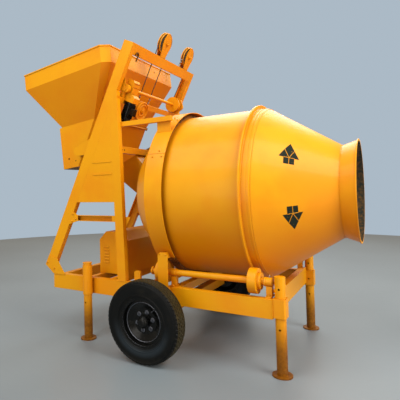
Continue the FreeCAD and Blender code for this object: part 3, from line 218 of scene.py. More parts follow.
def blackEnamel(name):
    paint = Paint(name)
    dust = paint.cloud(paint.place(), wheelCoat["grain"], 4.0).between(0.52, 0.85)
    colour = paint.mix(dust * 0.2, wheelCoat["black"], wheelCoat["dust"])
    return paint.finish(color=colour, roughness=wheelCoat["roughness"] + dust * 0.3,
                        normal=paint.rounded(wheelCoat["edgeRadius"]),
                        specular=wheelCoat["specular"])


# reaches are squares of the distance from the axle, in square metres
tyreLook = {"wall": (0.0030, 0.0035, 0.0036), "dust": (0.07, 0.058, 0.035),
            "tread": (0.085, 0.062, 0.016), "bulgeSheen": (0.026, 0.037, 0.048),
            "axleHigh": 0.375, "treadReach": (0.1345, 0.1385), "bulgeStart": (0.048, 0.062),
            "bulgeEnd": (0.070, 0.100), "bulgeHigh": (0.16, 0.42), "nearFloor": (0.0, 0.12),
            "grain": 300.0, "roughness": 0.36, "specular": 0.14}


def rubber(name):
    paint = Paint(name)
    where = paint.place()
    high = paint.height(where)
    grain = paint.cloud(where, tyreLook["grain"], 3.0)
    dust = paint.cloud(where, 9.0, 6.0, 0.65).between(0.5, 0.8)
    low = 1 - high.between(*tyreLook["nearFloor"])
    arm = paint.vector("SUBTRACT", where, (axleX, 0.0, tyreLook["axleHigh"]))
    arm = paint.vector("MULTIPLY", arm, (1.0, 0.0, 1.0))
    reach = paint.vector("DOT_PRODUCT", arm, arm)
    tread = reach.between(*tyreLook["treadReach"])
    # bulgeSheen marks the lower sidewall, where a bluish painted reflection of the floor is mixed in
    bulgeSheen = (reach.between(*tyreLook["bulgeStart"]) * (1 - reach.between(*tyreLook["bulgeEnd"]))
             * (1 - high.between(*tyreLook["bulgeHigh"])))
    colour = paint.mix(dust * 0.12 + low * 0.1, tyreLook["wall"], tyreLook["dust"])
    # olive on the tread: road dust with a painted reflection of the yellow paint
    colour = paint.mix(tread * (0.35 + dust * 0.4), colour, tyreLook["tread"])
    colour = paint.mix(bulgeSheen * 0.6, colour, tyreLook["bulgeSheen"])
    gloss = tyreLook["roughness"] + grain * 0.12 + dust * 0.2
    return paint.finish(color=colour, roughness=gloss, normal=paint.bump(grain, 0.0005),
                        specular=tyreLook["specular"])


metals = {"rust": (0.20, 0.085, 0.03), "stain": 22.0, "brush": (40.0, 400.0, 40.0),
          "gear": (0.30, 0.11, 0.008), "grease": (0.055, 0.026, 0.006),
          "strand": (0.10, 0.075, 0.05), "oil": (0.022, 0.018, 0.015)}


def bareSteel(name, colour, rust):
    paint = Paint(name)
    where = paint.place()
    stain = paint.cloud(where, metals["stain"], 6.0, 0.65).between(0.5, 0.72) * rust
    scratch = paint.cloud(paint.vector("MULTIPLY", where, metals["brush"]), 1.0, 3.0)
    shade = paint.mix(stain, colour, metals["rust"])
    return paint.finish(color=shade, metallic=1 - stain, roughness=0.3 + scratch * 0.2 + stain,
                        normal=paint.bump(scratch, 0.0003))


def greasyIron(name):
    paint = Paint(name)
    where = paint.place()
    grease = paint.cloud(where, 14.0, 5.0).between(0.35, 0.7)
    colour = paint.mix(grease, metals["gear"], metals["grease"])
    return paint.finish(color=colour, metallic=0.2 - grease * 0.15,
                        roughness=0.55 - grease * 0.2,
                        normal=paint.bump(paint.cloud(where, 120.0, 3.0), 0.001))


def wireRope(name):
    paint = Paint(name)
    oil = paint.cloud(paint.place(), 60.0, 4.0).between(0.35, 0.65)
    colour = paint.mix(oil, metals["strand"], metals["oil"])
    return paint.finish(color=colour, metallic=0.5 - oil * 0.3, roughness=0.6 - oil * 0.2)


def stencil(name, colour):
    paint = Paint(name)
    worn = paint.cloud(paint.place(), 90.0, 5.0, 0.6).between(0.62, 0.72)
    shade = paint.mix(worn * 0.5, colour, enamel["deep"])
    return paint.finish(color=shade, roughness=0.62 + worn * 0.2, specular=0.10)


floorLook = {"dark": (0.205, 0.252, 0.292), "pale": (0.240, 0.290, 0.330), "patch": 0.35,
             "grain": 14.0, "roughness": 0.26}


def studioFloor(name):
    paint = Paint(name)
    where = paint.place()
    patch = paint.cloud(where, floorLook["patch"], 3.0)
    fine = paint.cloud(where, floorLook["grain"], 5.0)
    colour = paint.mix(patch.between(0.3, 0.7), floorLook["dark"], floorLook["pale"])
    return paint.finish(color=colour,
                        roughness=floorLook["roughness"] + patch * 0.1 + fine * 0.06)


drumAxis = next(j for j in frame["joints"] if j["name"] == "drum_spin")["pos_m"]
hopperLow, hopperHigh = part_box("hopper")
hopperMiddle = ((hopperLow.x + hopperHigh.x) / 2, 0.0, hopperLow.z)
yellow = enamelPaint("yellowEnamel")
hopperYellow = enamelPaint("hopperEnamel", 0.3, (hopperMiddle, (1.0, 1.0, 0.0)), (0.20, 0.15, 0.09))
drumYellow = enamelPaint("drumEnamel", 0.16, (drumAxis, (0.0, 1.0, 1.0)))
black = blackEnamel("blackEnamel")
rope = wireRope("ropeSteel")
steel = bareSteel("zincSteel", (0.42, 0.40, 0.37), 0.35)
ironWork = bareSteel("ironWork", (0.16, 0.07, 0.02), 0.8)
# grey bare steel for the black wheel's nuts, disc bead and lock ring: a painted highlight for glints on black
# paint
glintSteel = bareSteel("glintSteel", (0.15, 0.16, 0.19), 0.1)
arrowBlack = stencil("arrowPaint", (0.012, 0.020, 0.014))
# near-black discs for holes, painted shade of their insides
holeShade = stencil("holeShadePaint", (0.006, 0.005, 0.004))
finishOf = {"yellow_paint": yellow, "hopper_paint": hopperYellow, "drum_paint": drumYellow,
            "wheel_paint": black, "tyre_rubber": rubber("tyreRubber"),
            "gear_iron": greasyIron("greasedIron")}
for part in frame["record"]["subparts"]:
    cad = nodes[part["node"]]
    cad.data.materials.clear()
    cad.data.materials.append(finishOf[part["material_slot"]])
for name in ("middle", "far"):
    nodes["sheave_" + name].data.materials[0] = yellow
print("finishes made")


def at(x, y, z):  # drawing millimetres from the axle, as a point of the frame
    return Vector((x / 1000 + axleX, y / 1000, z / 1000))


rails = {"lean": math.radians(26.3), "foot": at(-1462, 0, 724)}
upRail = Vector((math.sin(rails["lean"]), 0.0, math.cos(rails["lean"])))
offRail = Vector((math.cos(rails["lean"]), 0.0, -math.sin(rails["lean"])))
lengthWay = Vector((1.0, 0.0, 0.0))
acrossWay = Vector((0.0, 1.0, 0.0))
downWay = Vector((0.0, 0.0, -1.0))


def onRail(along, across, y):  # a point by its distances up the rails and toward the drum
    return rails["foot"] + (upRail * along + offRail * across + acrossWay * y) / 1000


def seat(node, start, toward):  # where a ray meets a CAD piece, and which way its face looks
    hit, spot, normal = nodes[node].ray_cast(start, toward)[:3]
    if not hit:
        raise ValueError("nothing met on " + node)
    return spot, normal if normal.dot(toward) < 0 else -normal


def sideways(axis):
    guide = Vector((0, 0, 1)) if abs(axis.z) < 0.9 else Vector((1, 0, 0))
    first = axis.cross(guide).normalized()
    return first, axis.cross(first)


def circle(centre, axis, radius, count):
    first, second = sideways(axis)
    return [centre + (first * math.cos(a) + second * math.sin(a)) * radius
            for a in (2 * math.pi * i / count for i in range(count))]


ripples = {"sides": 6, "swell": 0.22, "pace": 1.9}


class Stock:  # gathers shapes that become one piece
    def __init__(self):
        self.verts = []
        self.faces = []

    def loft(self, rings, ringed=False):  # skin over closed rings, capped unless it closes itself
        start, count = len(self.verts), len(rings[0])
        for ring in rings:
            self.verts += ring
        for i in range(len(rings) if ringed else len(rings) - 1):
            base, after = start + i * count, start + (i + 1) % len(rings) * count
            for j in range(count):
                k = (j + 1) % count
                self.faces.append((base + j, base + k, after + k, after + j))
        if not ringed:
            end = start + (len(rings) - 1) * count
            self.faces.append(tuple(range(start + count - 1, start - 1, -1)))
            self.faces.append(tuple(range(end, end + count)))

    def turn(self, spot, axis, outline, sides=24, ringed=False):  # outline: (along, radius)
        self.loft([circle(spot + axis * along, axis, radius, sides)
                   for along, radius in outline], ringed)

    def bolt(self, spot, normal, size, stud=0.004):  # washer, six-sided nut and stud end
        self.turn(spot, normal, [(-0.001, size * 1.15), (0.0015, size * 1.15),
                                 (0.002, size * 1.05)])
        self.turn(spot, normal, [(0.001, size * 0.92), (size * 0.75, size * 0.92),
                                 (size * 0.9, size * 0.78)], 6)
        if stud:
            self.turn(spot, normal, [(size * 0.8, size * 0.5), (size * 0.9 + stud, size * 0.5),
                                     (size * 1.0 + stud, size * 0.4)], 12)

    def tube(self, path, radius, sides=10, ringed=False, ripple=0.0, twist=0.0):
        rings = []
        first = None
        count = len(path)
        for i, point in enumerate(path):
            before = path[i - 1] if ringed or i else point
            after = path[(i + 1) % count] if ringed or i < count - 1 else point
            along = (after - before).normalized()
            if first is None:
                first = sideways(along)[0]
            else:
                first = (first - along * first.dot(along)).normalized()
            second = along.cross(first)
            ring = []
            for j in range(sides):
                a = 2 * math.pi * j / sides
                out = radius * (1 + ripple * math.cos(3 * a + twist * i))
                ring.append(point + (first * math.cos(a) + second * math.sin(a)) * out)
            rings.append(ring)
        self.loft(rings, ringed)

    def bead(self, path, radius, ringed=False):  # a weld with its ripples
        start = len(self.verts)
        self.tube(path, radius, ripples["sides"], ringed)
        for i, point in enumerate(path):
            swell = 1 + ripples["swell"] * math.sin(i * ripples["pace"])
            for j in range(ripples["sides"]):
                k = start + i * ripples["sides"] + j
                self.verts[k] = point + (self.verts[k] - point) * swell

    def slab(self, corners, push):  # a flat plate from its corners and its thickness vector
        self.loft([corners, [corner + push for corner in corners]])

    def piece(self, name, body, slot, material=None, bevel=0.0, sharp=35.0):
        mesh = bpy.data.meshes.new(name)
        mesh.from_pydata([tuple(v) for v in self.verts], [], self.faces)
        built = bmesh.new()
        built.from_mesh(mesh)
        bmesh.ops.recalc_face_normals(built, faces=built.faces)
        if bevel:
            edges = [e for e in built.edges if e.calc_face_angle(0.0) > math.radians(sharp)]
            bmesh.ops.bevel(built, geom=edges, offset=bevel, segments=2, affect="EDGES")
        built.to_mesh(mesh)
        built.free()
        mesh.shade_smooth()
        mesh.set_sharp_from_angle(angle=math.radians(sharp))
        piece = bpy.data.objects.new(name, mesh)
        scene.collection.objects.link(piece)
        mesh.materials.append(material or finishOf[slot])
        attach(piece, body)
        return piece


def line(start, end, step):
    count = max(2, int((end - start).length / step))
    return [start.lerp(end, i / count) for i in range(count + 1)]


# ribbed road tyres; the section runs from bead to tread middle as (radius, half width)
tyre = {"around": 360, "profile": 96, "pitches": 60, "treadFrom": 0.955, "groove": 0.011,
        "ribLines": (-0.5, -0.17, 0.17, 0.5), "lineHalf": 0.035, "wave": 0.04,
        "shoulder": 0.76, "slotDepth": 0.7, "slotLong": 0.3, "slotShift": 0.25,
        "section": ((0.200, 0.064), (0.213, 0.068), (0.232, 0.079), (0.258, 0.0865),
                    (0.290, 0.0890), (0.322, 0.0880), (0.345, 0.0850), (0.360, 0.0800),
                    (0.3695, 0.0680), (0.3735, 0.0420), (0.375, 0.0)), "widest": 0.089,
        "ridges": (0.226, 0.238, 0.250, 0.330, 0.341), "ridgeHigh": 0.0035,
        "ridgeWide": 0.0022}


def smoothAt(points, share):  # a Catmull-Rom line through the points
    place = min(share, 0.99999) * (len(points) - 1)
    index = int(place)
    t = place - index
    around = [points[min(max(index + k, 0), len(points) - 1)] for k in (-1, 0, 1, 2)]
    return [0.5 * (2 * b + (c - a) * t + (2 * a - 5 * b + 4 * c - d) * t * t
                   + (3 * b - a - 3 * c + d) * t ** 3) for a, b, c, d in zip(*around)]


def tyreProfile(share):  # from one bead over the tread to the other bead
    side = -1 if share < 0.5 else 1
    out, across = smoothAt(tyre["section"], 1 - abs(share - 0.5) * 2)
    for ridge in tyre["ridges"]:
        across += tyre["ridgeHigh"] * math.exp(-((out - ridge) / tyre["ridgeWide"]) ** 2)
    return side * min(across, tyre["widest"]), out


def treadDepth(across, out, turn):  # shares of the half width, the radius and one turn
    if out < tyre["treadFrom"]:
        return 0.0
    wave = math.sin(turn * tyre["pitches"] * 2 * math.pi) * tyre["wave"]
    for middle in tyre["ribLines"]:
        if abs(across + wave - middle) < tyre["lineHalf"]:
            return tyre["groove"]
    phase = (turn * tyre["pitches"] + (tyre["slotShift"] if across > 0 else 0.0)) % 1.0
    slotted = abs(across) > tyre["shoulder"] and phase < tyre["slotLong"]
    return tyre["groove"] * tyre["slotDepth"] if slotted else 0.0


for side in ("near", "far"):
    low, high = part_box("tyre_" + side)
    middle, radius, half = (low + high) / 2, (high.z - low.z) / 2, (high.y - low.y) / 2
    stock = Stock()
    rings = []
    for step in range(tyre["around"]):
        share = step / tyre["around"]
        angle = 2 * math.pi * share
        ring = []
        for index in range(tyre["profile"] + 1):
            across, out = tyreProfile(index / tyre["profile"])
            out -= treadDepth(across / half, out / radius, share)
            ring.append(middle + Vector((out * math.cos(angle), across, out * math.sin(angle))))
        rings.append(ring)
    stock.loft(rings, ringed=True)
    piece = stock.piece("tyre_tread_" + side, "wheel_" + side, "tyre_rubber")
    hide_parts("tyre_" + side)
print("tyres made")


# wheel nuts, the disc's edge bead, hub cap, lock ring and valve; outlines are (along, radius)
hub = {"nuts": 6, "firstNut": 0.25, "pitch": 0.084, "faceOut": 0.008, "nut": 0.0125,
       "nutLift": 0.003, "stud": 0.010, "boss": ((0, 0.021), (0.004, 0.020), (0.005, 0.017)),
       "discEdge": 0.176, "discBead": 0.0045, "capOut": 0.050,
       "cap": ((-0.004, 0.050), (0.004, 0.050), (0.006, 0.047), (0.012, 0.043), (0.020, 0.038),
               (0.024, 0.030), (0.026, 0.016), (0.0265, 0.002)),
       "capBolts": 5, "capPitch": 0.0465, "capBolt": 0.0035, "capFace": 0.004,
       "lock": ((0.0665, 0.2035), (0.0705, 0.2065), (0.0715, 0.2125), (0.0685, 0.2175),
                (0.0645, 0.2125)),
       "valveRadius": 0.186, "valveOut": 0.036, "valveLean": Vector((-0.3, 0, -0.3)),
       "valve": ((-0.004, 0.006), (0.02, 0.006), (0.022, 0.004), (0.04, 0.004),
                 (0.042, 0.0055), (0.052, 0.0055))}


def spoke(turns, radius):  # a step from the axle across the wheel
    angle = 2 * math.pi * turns
    return Vector((math.cos(angle), 0, math.sin(angle))) * radius


for side, way in (("near", -1), ("far", 1)):
    low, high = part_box("tyre_" + side)
    centre = (low + high) / 2
    outward = Vector((0, way, 0))
    body = "wheel_" + side
    stock = Stock()
    for index in range(hub["nuts"]):
        spot = centre + outward * hub["faceOut"]
        spot += spoke((index + hub["firstNut"]) / hub["nuts"], hub["pitch"])
        stock.turn(spot, outward, hub["boss"], 20)
        stock.bolt(spot + outward * hub["nutLift"], outward, hub["nut"], hub["stud"])
    spot = seat(body, centre + outward * 0.3 + spoke(0, hub["discEdge"]), -outward)[0]
    edge = circle(Vector((centre.x, spot.y, centre.z)), outward, hub["discEdge"], 120)
    stock.bead(edge, hub["discBead"], True)
    # nuts and disc bead in grey steel, as painted highlight
    stock.piece("wheel_nuts_" + side, body, "wheel_paint", glintSteel)
    stock = Stock()
    stock.turn(centre + outward * hub["capOut"], outward, hub["cap"], 40)
    for index in range(hub["capBolts"]):
        spot = centre + outward * (hub["capOut"] + hub["capFace"])
        stock.bolt(spot + spoke(index / hub["capBolts"], hub["capPitch"]), outward,
                   hub["capBolt"], 0.0)
    stock.piece("hub_cap_" + side, body, "wheel_paint")
    stock = Stock()
    stock.turn(centre, outward, hub["lock"], 96, ringed=True)
    stem = centre + outward * hub["valveOut"] + spoke(0.125, hub["valveRadius"])
    stock.turn(stem, (outward + hub["valveLean"]).normalized(), hub["valve"], 12)
    # lock ring and valve in grey steel, as painted highlight
    stock.piece("lock_ring_" + side, body, "wheel_paint", glintSteel)
print("wheels dressed")


# weld seams of the drum, in drawing millimetres; the seam runs at an angle above the near side
drum = {"axisZ": drumAxis[2], "cylinder": 829, "front": 933, "neckX": 1568, "neck": 420,
        "flare": 0.3, "bead": 0.0035, "seam": 118, "step": 7, "ringWeld": 14,
        "seams": ((140, 92), (950, 88), (1572, 17))}


def onDrum(x, radius, angle, lift=0.0):  # angle in degrees from the near side upward
    turn = math.radians(angle)
    arm = radius / 1000 + lift
    return Vector((at(x, 0, 0).x, -math.cos(turn) * arm, drum["axisZ"] + math.sin(turn) * arm))


def onSide(spot, way):  # a point of the near side, or its mirror image on the far side
    return Vector((spot.x, -way * spot.y, spot.z))


def shellRadius(x):  # outside of the cylinder, the front cone and the flared mouth
    if x < drum["front"]:
        return drum["cylinder"]
    if x > drum["neckX"]:
        return drum["neck"] + (x - drum["neckX"]) * drum["flare"]
    share = (x - drum["front"]) / (drum["neckX"] - drum["front"])
    return drum["cylinder"] + (drum["neck"] - drum["cylinder"]) * share


stock = Stock()
coneWeld = drum["front"] + drum["ringWeld"]
for x, radius in ((coneWeld, shellRadius(coneWeld)), (drum["neckX"], drum["neck"] + 1)):
    stock.bead(circle(onDrum(x, 0, 0), lengthWay, radius / 1000, 420), drum["bead"], True)
for start, count in drum["seams"]:
    seam = [start + index * drum["step"] for index in range(count)]
    stock.bead([onDrum(x, shellRadius(x), drum["seam"]) for x in seam], drum["bead"])
stock.piece("drum_welds", "drum", "drum_paint")

# rolling rings of angle section, the tall leg on the rollers
angleIron = {"places": (-35, 848), "outline": (
    (0, 828), (0, 869), (2, 871), (15, 871), (17, 869), (17, 837), (21, 833), (63, 833),
    (65, 831), (65, 828))}
stock = Stock()
for x in angleIron["places"]:
    section = [(along / 1000, radius / 1000) for along, radius in angleIron["outline"]]
    stock.turn(onDrum(x, 0, 0), lengthWay, section, 240, ringed=True)
piece = stock.piece("rolling_ring_sections", "drum", "drum_paint")
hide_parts("rolling_rings")

# arrows that show the turning ways, and the bridges of their stencil
arrows = {"rows": 16, "lift": 0.0012, "bridge": 0.0030, "bridgeSteps": 8, "forkHigh": 0.52,
          "forkWide": 0.48, "tip": 0.5, "stem": 39,
          "up": {"x": 1211, "apex": 40.2, "base": 27.2, "foot": 22.0, "half": 74},
          "down": {"x": 1236, "apex": -28.6, "base": -15.4, "foot": -9.7, "half": 72}}


def onCone(x, angle, lift=0.0):
    return onDrum(x, shellRadius(x), angle, lift)


for name in ("up", "down"):
    arrow = arrows[name]
    x, foot, base, apex = (arrow[key] for key in ("x", "foot", "base", "apex"))
    stem, head = arrows["stem"], arrow["half"]
    stock = Stock()
    for start, end, wide, tip in ((foot, base, stem, stem), (base, apex, head, arrows["tip"])):
        rings = []
        for row in range(arrows["rows"] + 1):
            share = row / arrows["rows"]
            angle = start + (end - start) * share
            half = wide + (tip - wide) * share
            rings.append([onCone(x - half, angle), onCone(x - half, angle, arrows["lift"]),
                          onCone(x + half, angle, arrows["lift"]), onCone(x + half, angle)])
        stock.loft(rings)
    stock.piece("arrow_" + name, "drum", "drum_paint", arrowBlack)
    stock = Stock()
    top, reach = base + (apex - base) * arrows["forkHigh"], head * arrows["forkWide"]
    for first, last in (((0, foot), (0, base)), ((-stem, base), (stem, base)),
                        ((0, base), (-reach, top)), ((0, base), (reach, top))):
        bridge = []
        for step in range(arrows["bridgeSteps"] + 1):
            across, angle = (a + (b - a) * step / arrows["bridgeSteps"]
                             for a, b in zip(first, last))
            bridge.append(onCone(x + across, angle))
        stock.tube(bridge, arrows["bridge"], 6)
    stock.piece("arrow_bridges_" + name, "drum", "drum_paint")
print("drum dressed")


# bolts, each on the face it is driven into: places are (x, z), or (x, z, size)
bolts = {
    "rail": ((-1097, 1315), (-1054, 1262), (-1112, 1237), (-1500, 751), (-1392, 690)),
    "railOut": 800, "railSize": 0.011,
    "post": ((30, 949, 0.008), (98, 949, 0.008), (35, 596, 0.010), (93, 596, 0.010)),
    "postOut": 850,
    "bearingX": (125, 1033), "bearingY": (-676, -588, 588, 676), "bearingZ": 700,
    "bearingSize": 0.010,
    "band": ((72, 28.4), (10, 24.3), (110, 24.3), (60, 62.0), (115, 58.0)),  # x and angle
    "bandRadius": 887, "bandSize": 0.008}
nipple = {"y": (-632, 632), "above": 900,
          "outline": ((-0.002, 0.007), (0.006, 0.007), (0.007, 0.004), (0.014, 0.0035),
                      (0.018, 0.0045), (0.021, 0.002))}
driven = []
for side, way in (("near", -1), ("far", 1)):
    driven += [("rail_" + side, at(x, way * bolts["railOut"], z), acrossWay * -way,
                bolts["railSize"]) for x, z in bolts["rail"]]
for way in (-1, 1):
    driven += [("guard_posts", at(x, way * bolts["postOut"], z), acrossWay * -way, size)
               for x, z, size in bolts["post"]]
for y in bolts["bearingY"]:
    driven += [("shaft_bearings", at(x, y, bolts["bearingZ"]), downWay, bolts["bearingSize"])
               for x in bolts["bearingX"]]
stock = Stock()
for node, start, toward, size in driven:
    spot, normal = seat(node, start, toward)
    stock.bolt(spot, normal, size)
for way in (-1, 1):  # clamp bolts of the guard band and its hanging plates
    for x, angle in bolts["band"]:
        spot = onSide(onDrum(x, bolts["bandRadius"], angle), way)
        out = Vector((0, spot.y, spot.z - drum["axisZ"])).normalized()
        stock.bolt(spot, out, bolts["bandSize"])
stock.piece("frame_bolts", "frame", "yellow_paint")

stock = Stock()  # grease nipples on the shaft bearings
for x in bolts["bearingX"]:
    for y in nipple["y"]:
        spot = seat("shaft_bearings", at(x, y, nipple["above"]), downWay)[0]
        stock.turn(spot, -downWay, nipple["outline"], 12)
stock.piece("grease_nipples", "frame", "yellow_paint", steel)
print("bolts made")


# small holes as near-black discs, painted shade of their insides: the piece they are in, where a ray starts, its
# way, and the radius
holes = {"frame": (("tower_bars", at(-350, -629, 1997), -lengthWay, 0.009),
                   ("tower_bars", at(-350, -590, 1993), -lengthWay, 0.009)),
         "hopper": (("hopper", at(-300, 237, 3033), -lengthWay, 0.010),
                    ("hopper", at(-1293, -700, 1951), acrossWay, 0.011),
                    ("hopper", at(-1293, 700, 1951), -acrossWay, 0.011),
                    ("hopper", at(-1190, -700, 1925), acrossWay, 0.007))}
for body, slot in (("frame", "yellow_paint"), ("hopper", "hopper_paint")):
    stock = Stock()
    for node, start, toward, radius in holes[body]:
        spot, normal = seat(node, start, toward)
        stock.turn(spot, normal, [(-0.001, radius), (0.0006, radius), (0.0008, radius * 0.9)], 20)
    stock.piece("holes_" + body, body, slot, holeShade)
print("holes made")


# hoist: ropes over the two upper sheaves, their clamps, windings and the spiral wheel
hoist = {"rope": 0.0052, "along": 2791, "across": 33, "wrap": 107, "middleY": -130, "farY": 441,
         "beamTop": 2090, "topBeam": 2644, "strands": 0.12, "twist": 0.5, "step": 0.006,
         "drumAlong": 2186, "drumAcross": 100, "drumY": 456, "leaveAlong": 10,
         "leaveAcross": -67, "leaveY": 30}
winding = {"radius": 0.0665, "turns": 8, "perTurn": 40, "wide": 0.084}
clamp = {"socket": ((0, 0.010), (0.03, 0.010), (0.034, 0.007)), "sink": 0.002,
         "lifts": (0.05, 0.08), "collar": ((0, 0.009), (0.012, 0.009)), "boltUp": 0.006,
         "boltOut": 0.008, "bolt": 0.005, "stud": 0.006}
spiral = {"along": 2000, "across": 130, "y": -260, "out": 0.018, "turns": 1.6, "steps": 119,
          "start": 0.028, "end": 0.100, "bar": 0.0085, "rim": 0.102, "rimBar": 0.008,
          "boss": ((-0.002, 0.026), (0.010, 0.026), (0.012, 0.022))}


def overSheave(y, leftEnd, rightEnd):  # a rope from its left end over the sheave to its right end
    along, across, wrap = (hoist[key] for key in ("along", "across", "wrap"))
    path = line(leftEnd, onRail(along, across, y - wrap), hoist["step"])
    for i in range(1, 48):
        angle = math.pi * i / 48
        path.append(onRail(along + wrap * math.sin(angle), across, y - wrap * math.cos(angle)))
    return path + line(onRail(along, across, y + wrap), rightEnd, hoist["step"])


ends = [onRail(hoist["beamTop"], hoist["across"], hoist["middleY"] - hoist["wrap"]),
        onRail(hoist["beamTop"], hoist["across"], hoist["middleY"] + hoist["wrap"]),
        onRail(hoist["topBeam"], hoist["across"], hoist["farY"] - hoist["wrap"])]
leave = onRail(hoist["drumAlong"] + hoist["leaveAlong"], hoist["drumAcross"] + hoist["leaveAcross"],
               hoist["drumY"] + hoist["leaveY"])
stock = Stock()
for path in (overSheave(hoist["middleY"], ends[0], ends[1]),
             overSheave(hoist["farY"], ends[2], leave)):
    stock.tube(path, hoist["rope"], 12, ripple=hoist["strands"], twist=hoist["twist"])
stock.piece("hoist_ropes", "frame", "yellow_paint", rope)

stock = Stock()  # sockets and clamps where the ropes are made fast
for end in ends:
    stock.turn(end - upRail * clamp["sink"], upRail, clamp["socket"], 16)
    for lift in clamp["lifts"]:
        stock.turn(end + upRail * lift, upRail, clamp["collar"], 12)
        stock.bolt(end + upRail * (lift + clamp["boltUp"]) + offRail * clamp["boltOut"],
                   offRail, clamp["bolt"], clamp["stud"])
stock.piece("rope_clamps", "frame", "yellow_paint", steel)

shaftSpot = onRail(hoist["drumAlong"], hoist["drumAcross"], hoist["drumY"])
coil = []
coilSteps = winding["turns"] * winding["perTurn"]
for i in range(coilSteps + 1):
    angle = 2 * math.pi * i / winding["perTurn"]
    out = upRail * math.cos(angle) + offRail * math.sin(angle)
    offset = (i / coilSteps - 0.5) * winding["wide"]
    coil.append(shaftSpot + acrossWay * offset + out * winding["radius"])
stock = Stock()
stock.tube(coil, hoist["rope"], 8, ripple=0.1, twist=0.6)
stock.piece("rope_windings", "hoist", "yellow_paint")

stock = Stock()
wheelSpot = onRail(spiral["along"], spiral["across"], spiral["y"]) + offRail * spiral["out"]
coil = []
for i in range(spiral["steps"] + 1):
    share = i / spiral["steps"]
    angle = 2 * math.pi * spiral["turns"] * share
    radius = spiral["start"] + (spiral["end"] - spiral["start"]) * share
    coil.append(wheelSpot + (upRail * math.cos(angle) + acrossWay * math.sin(angle)) * radius)
stock.tube(coil, spiral["bar"], 8)
stock.tube(circle(wheelSpot, offRail, spiral["rim"], 72), spiral["rimBar"], 8, ringed=True)
stock.turn(wheelSpot, offRail, spiral["boss"], 28)
stock.piece("spiral_wheel", "sheave_low", "yellow_paint")
print("hoist ropes made")


# gear case trim: cover screws, bosses and cast ribs
caseLow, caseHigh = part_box("hoist_gear_case")
gearCase = {"ribs": (2110, 2150, 2222, 2262), "ribAcross": (152, 167), "ribOut": 0.005,
            "ribLong": 0.008, "screws": 7, "firstScrew": 0.3, "pitch": 0.046, "screw": 0.006,
            "boss": ((-0.001, 0.036), (0.010, 0.036), (0.013, 0.033), (0.013, 0.020))}
faces = [(Vector((shaftSpot.x, y, shaftSpot.z)), acrossWay * way)
         for y, way in ((caseLow.y, -1), (caseHigh.y, 1))]
stock = Stock()
for index in range(gearCase["screws"]):
    angle = 2 * math.pi * index / gearCase["screws"] + gearCase["firstScrew"]
    out = upRail * math.cos(angle) + offRail * math.sin(angle)
    for spot, outward in faces:
        stock.bolt(spot + out * gearCase["pitch"], outward, gearCase["screw"], 0.0)
for spot, outward in faces:
    stock.turn(spot, outward, gearCase["boss"], 36)
for along in gearCase["ribs"]:
    inner, outer = (onRail(along, across, 0) for across in gearCase["ribAcross"])
    left, right = caseLow.y - gearCase["ribOut"], caseHigh.y + gearCase["ribOut"]
    corners = [Vector((p.x, y, p.z)) for p, y in ((inner, left), (inner, right),
                                                  (outer, right), (outer, left))]
    stock.slab(corners, upRail * gearCase["ribLong"])
stock.piece("gear_case_trim", "frame", "yellow_paint", bevel=0.001)

# cooling fins, fan cowl and terminal box of the hoist motor
motorLow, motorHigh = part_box("hoist_motor")
motor = {"middle": acrossWay * ((motorLow.y + motorHigh.y) / 2), "across": 158, "fins": 26,
         "finAlong": 1895, "finFoot": 0.050, "finHalf": 0.0012, "finHigh": 0.012,
         "finLong": 0.150, "cowlAlong": 1848,
         "cowl": ((-0.002, 0.052), (0.040, 0.056), (0.044, 0.054)), "boxAlong": 1935,
         "boxAcross": 205, "boxHalf": 0.035, "boxHigh": 0.038, "boxLong": 0.075}


def finOutline(foot, side, out):  # a rectangle from its foot, half width and height
    return [foot - side, foot + side, foot + side + out, foot - side + out]


stock = Stock()
for index in range(motor["fins"]):
    angle = 2 * math.pi * index / motor["fins"]
    out = acrossWay * math.cos(angle) + offRail * math.sin(angle)
    side = acrossWay * -math.sin(angle) + offRail * math.cos(angle)
    foot = onRail(motor["finAlong"], motor["across"], 0) + motor["middle"] + out * motor["finFoot"]
    stock.slab(finOutline(foot, side * motor["finHalf"], out * motor["finHigh"]),
               upRail * motor["finLong"])
stock.turn(onRail(motor["cowlAlong"], motor["across"], 0) + motor["middle"], upRail,
           motor["cowl"], 40)
foot = onRail(motor["boxAlong"], motor["boxAcross"], 0) + motor["middle"]
stock.slab(finOutline(foot, acrossWay * -motor["boxHalf"], offRail * motor["boxHigh"]),
           upRail * motor["boxLong"])
stock.piece("motor_trim", "frame", "wheel_paint", bevel=0.0006)

# hook on the top beam and shackle on the far rail; the bend is (side, up) in millimetres
hook = {"bend": ((-26, -8), (-22, 12), (-8, 27), (10, 22), (19, 5), (18, -18), (14, -42),
                 (12, -62)), "steps": 30, "along": 2535, "across": 70, "y": -590, "bar": 0.0075}
shackle = {"along": 2500, "across": 10, "out": 800, "lift": 0.004, "steps": 20, "swing": 1.3,
           "start": -0.5, "reach": 0.022, "bulgeSheen": 0.018, "half": 0.020, "bar": 0.005,
           "bolt": 0.010}
bend = (smoothAt(hook["bend"], i / hook["steps"]) for i in range(hook["steps"] + 1))
stock = Stock()
stock.tube([onRail(hook["along"] + up, hook["across"], hook["y"] + side) for side, up in bend],
           hook["bar"], 10)
stock.piece("tarpaulin_hook", "frame", "yellow_paint", ironWork)
stock = Stock()
spot, normal = seat("rail_far", onRail(shackle["along"], shackle["across"], shackle["out"]),
                    -acrossWay)
bow = [spot + normal * shackle["lift"]]
for i in range(shackle["steps"] + 1):
    angle = math.pi * (i / shackle["steps"]) * shackle["swing"] + shackle["start"]
    bow.append(spot + normal * (shackle["reach"] + shackle["bulgeSheen"] * math.sin(angle))
               - upRail * shackle["half"] * math.cos(angle))
stock.tube(bow, shackle["bar"], 10)
stock.bolt(spot, normal, shackle["bolt"])
stock.piece("shackle", "frame", "yellow_paint", steel)

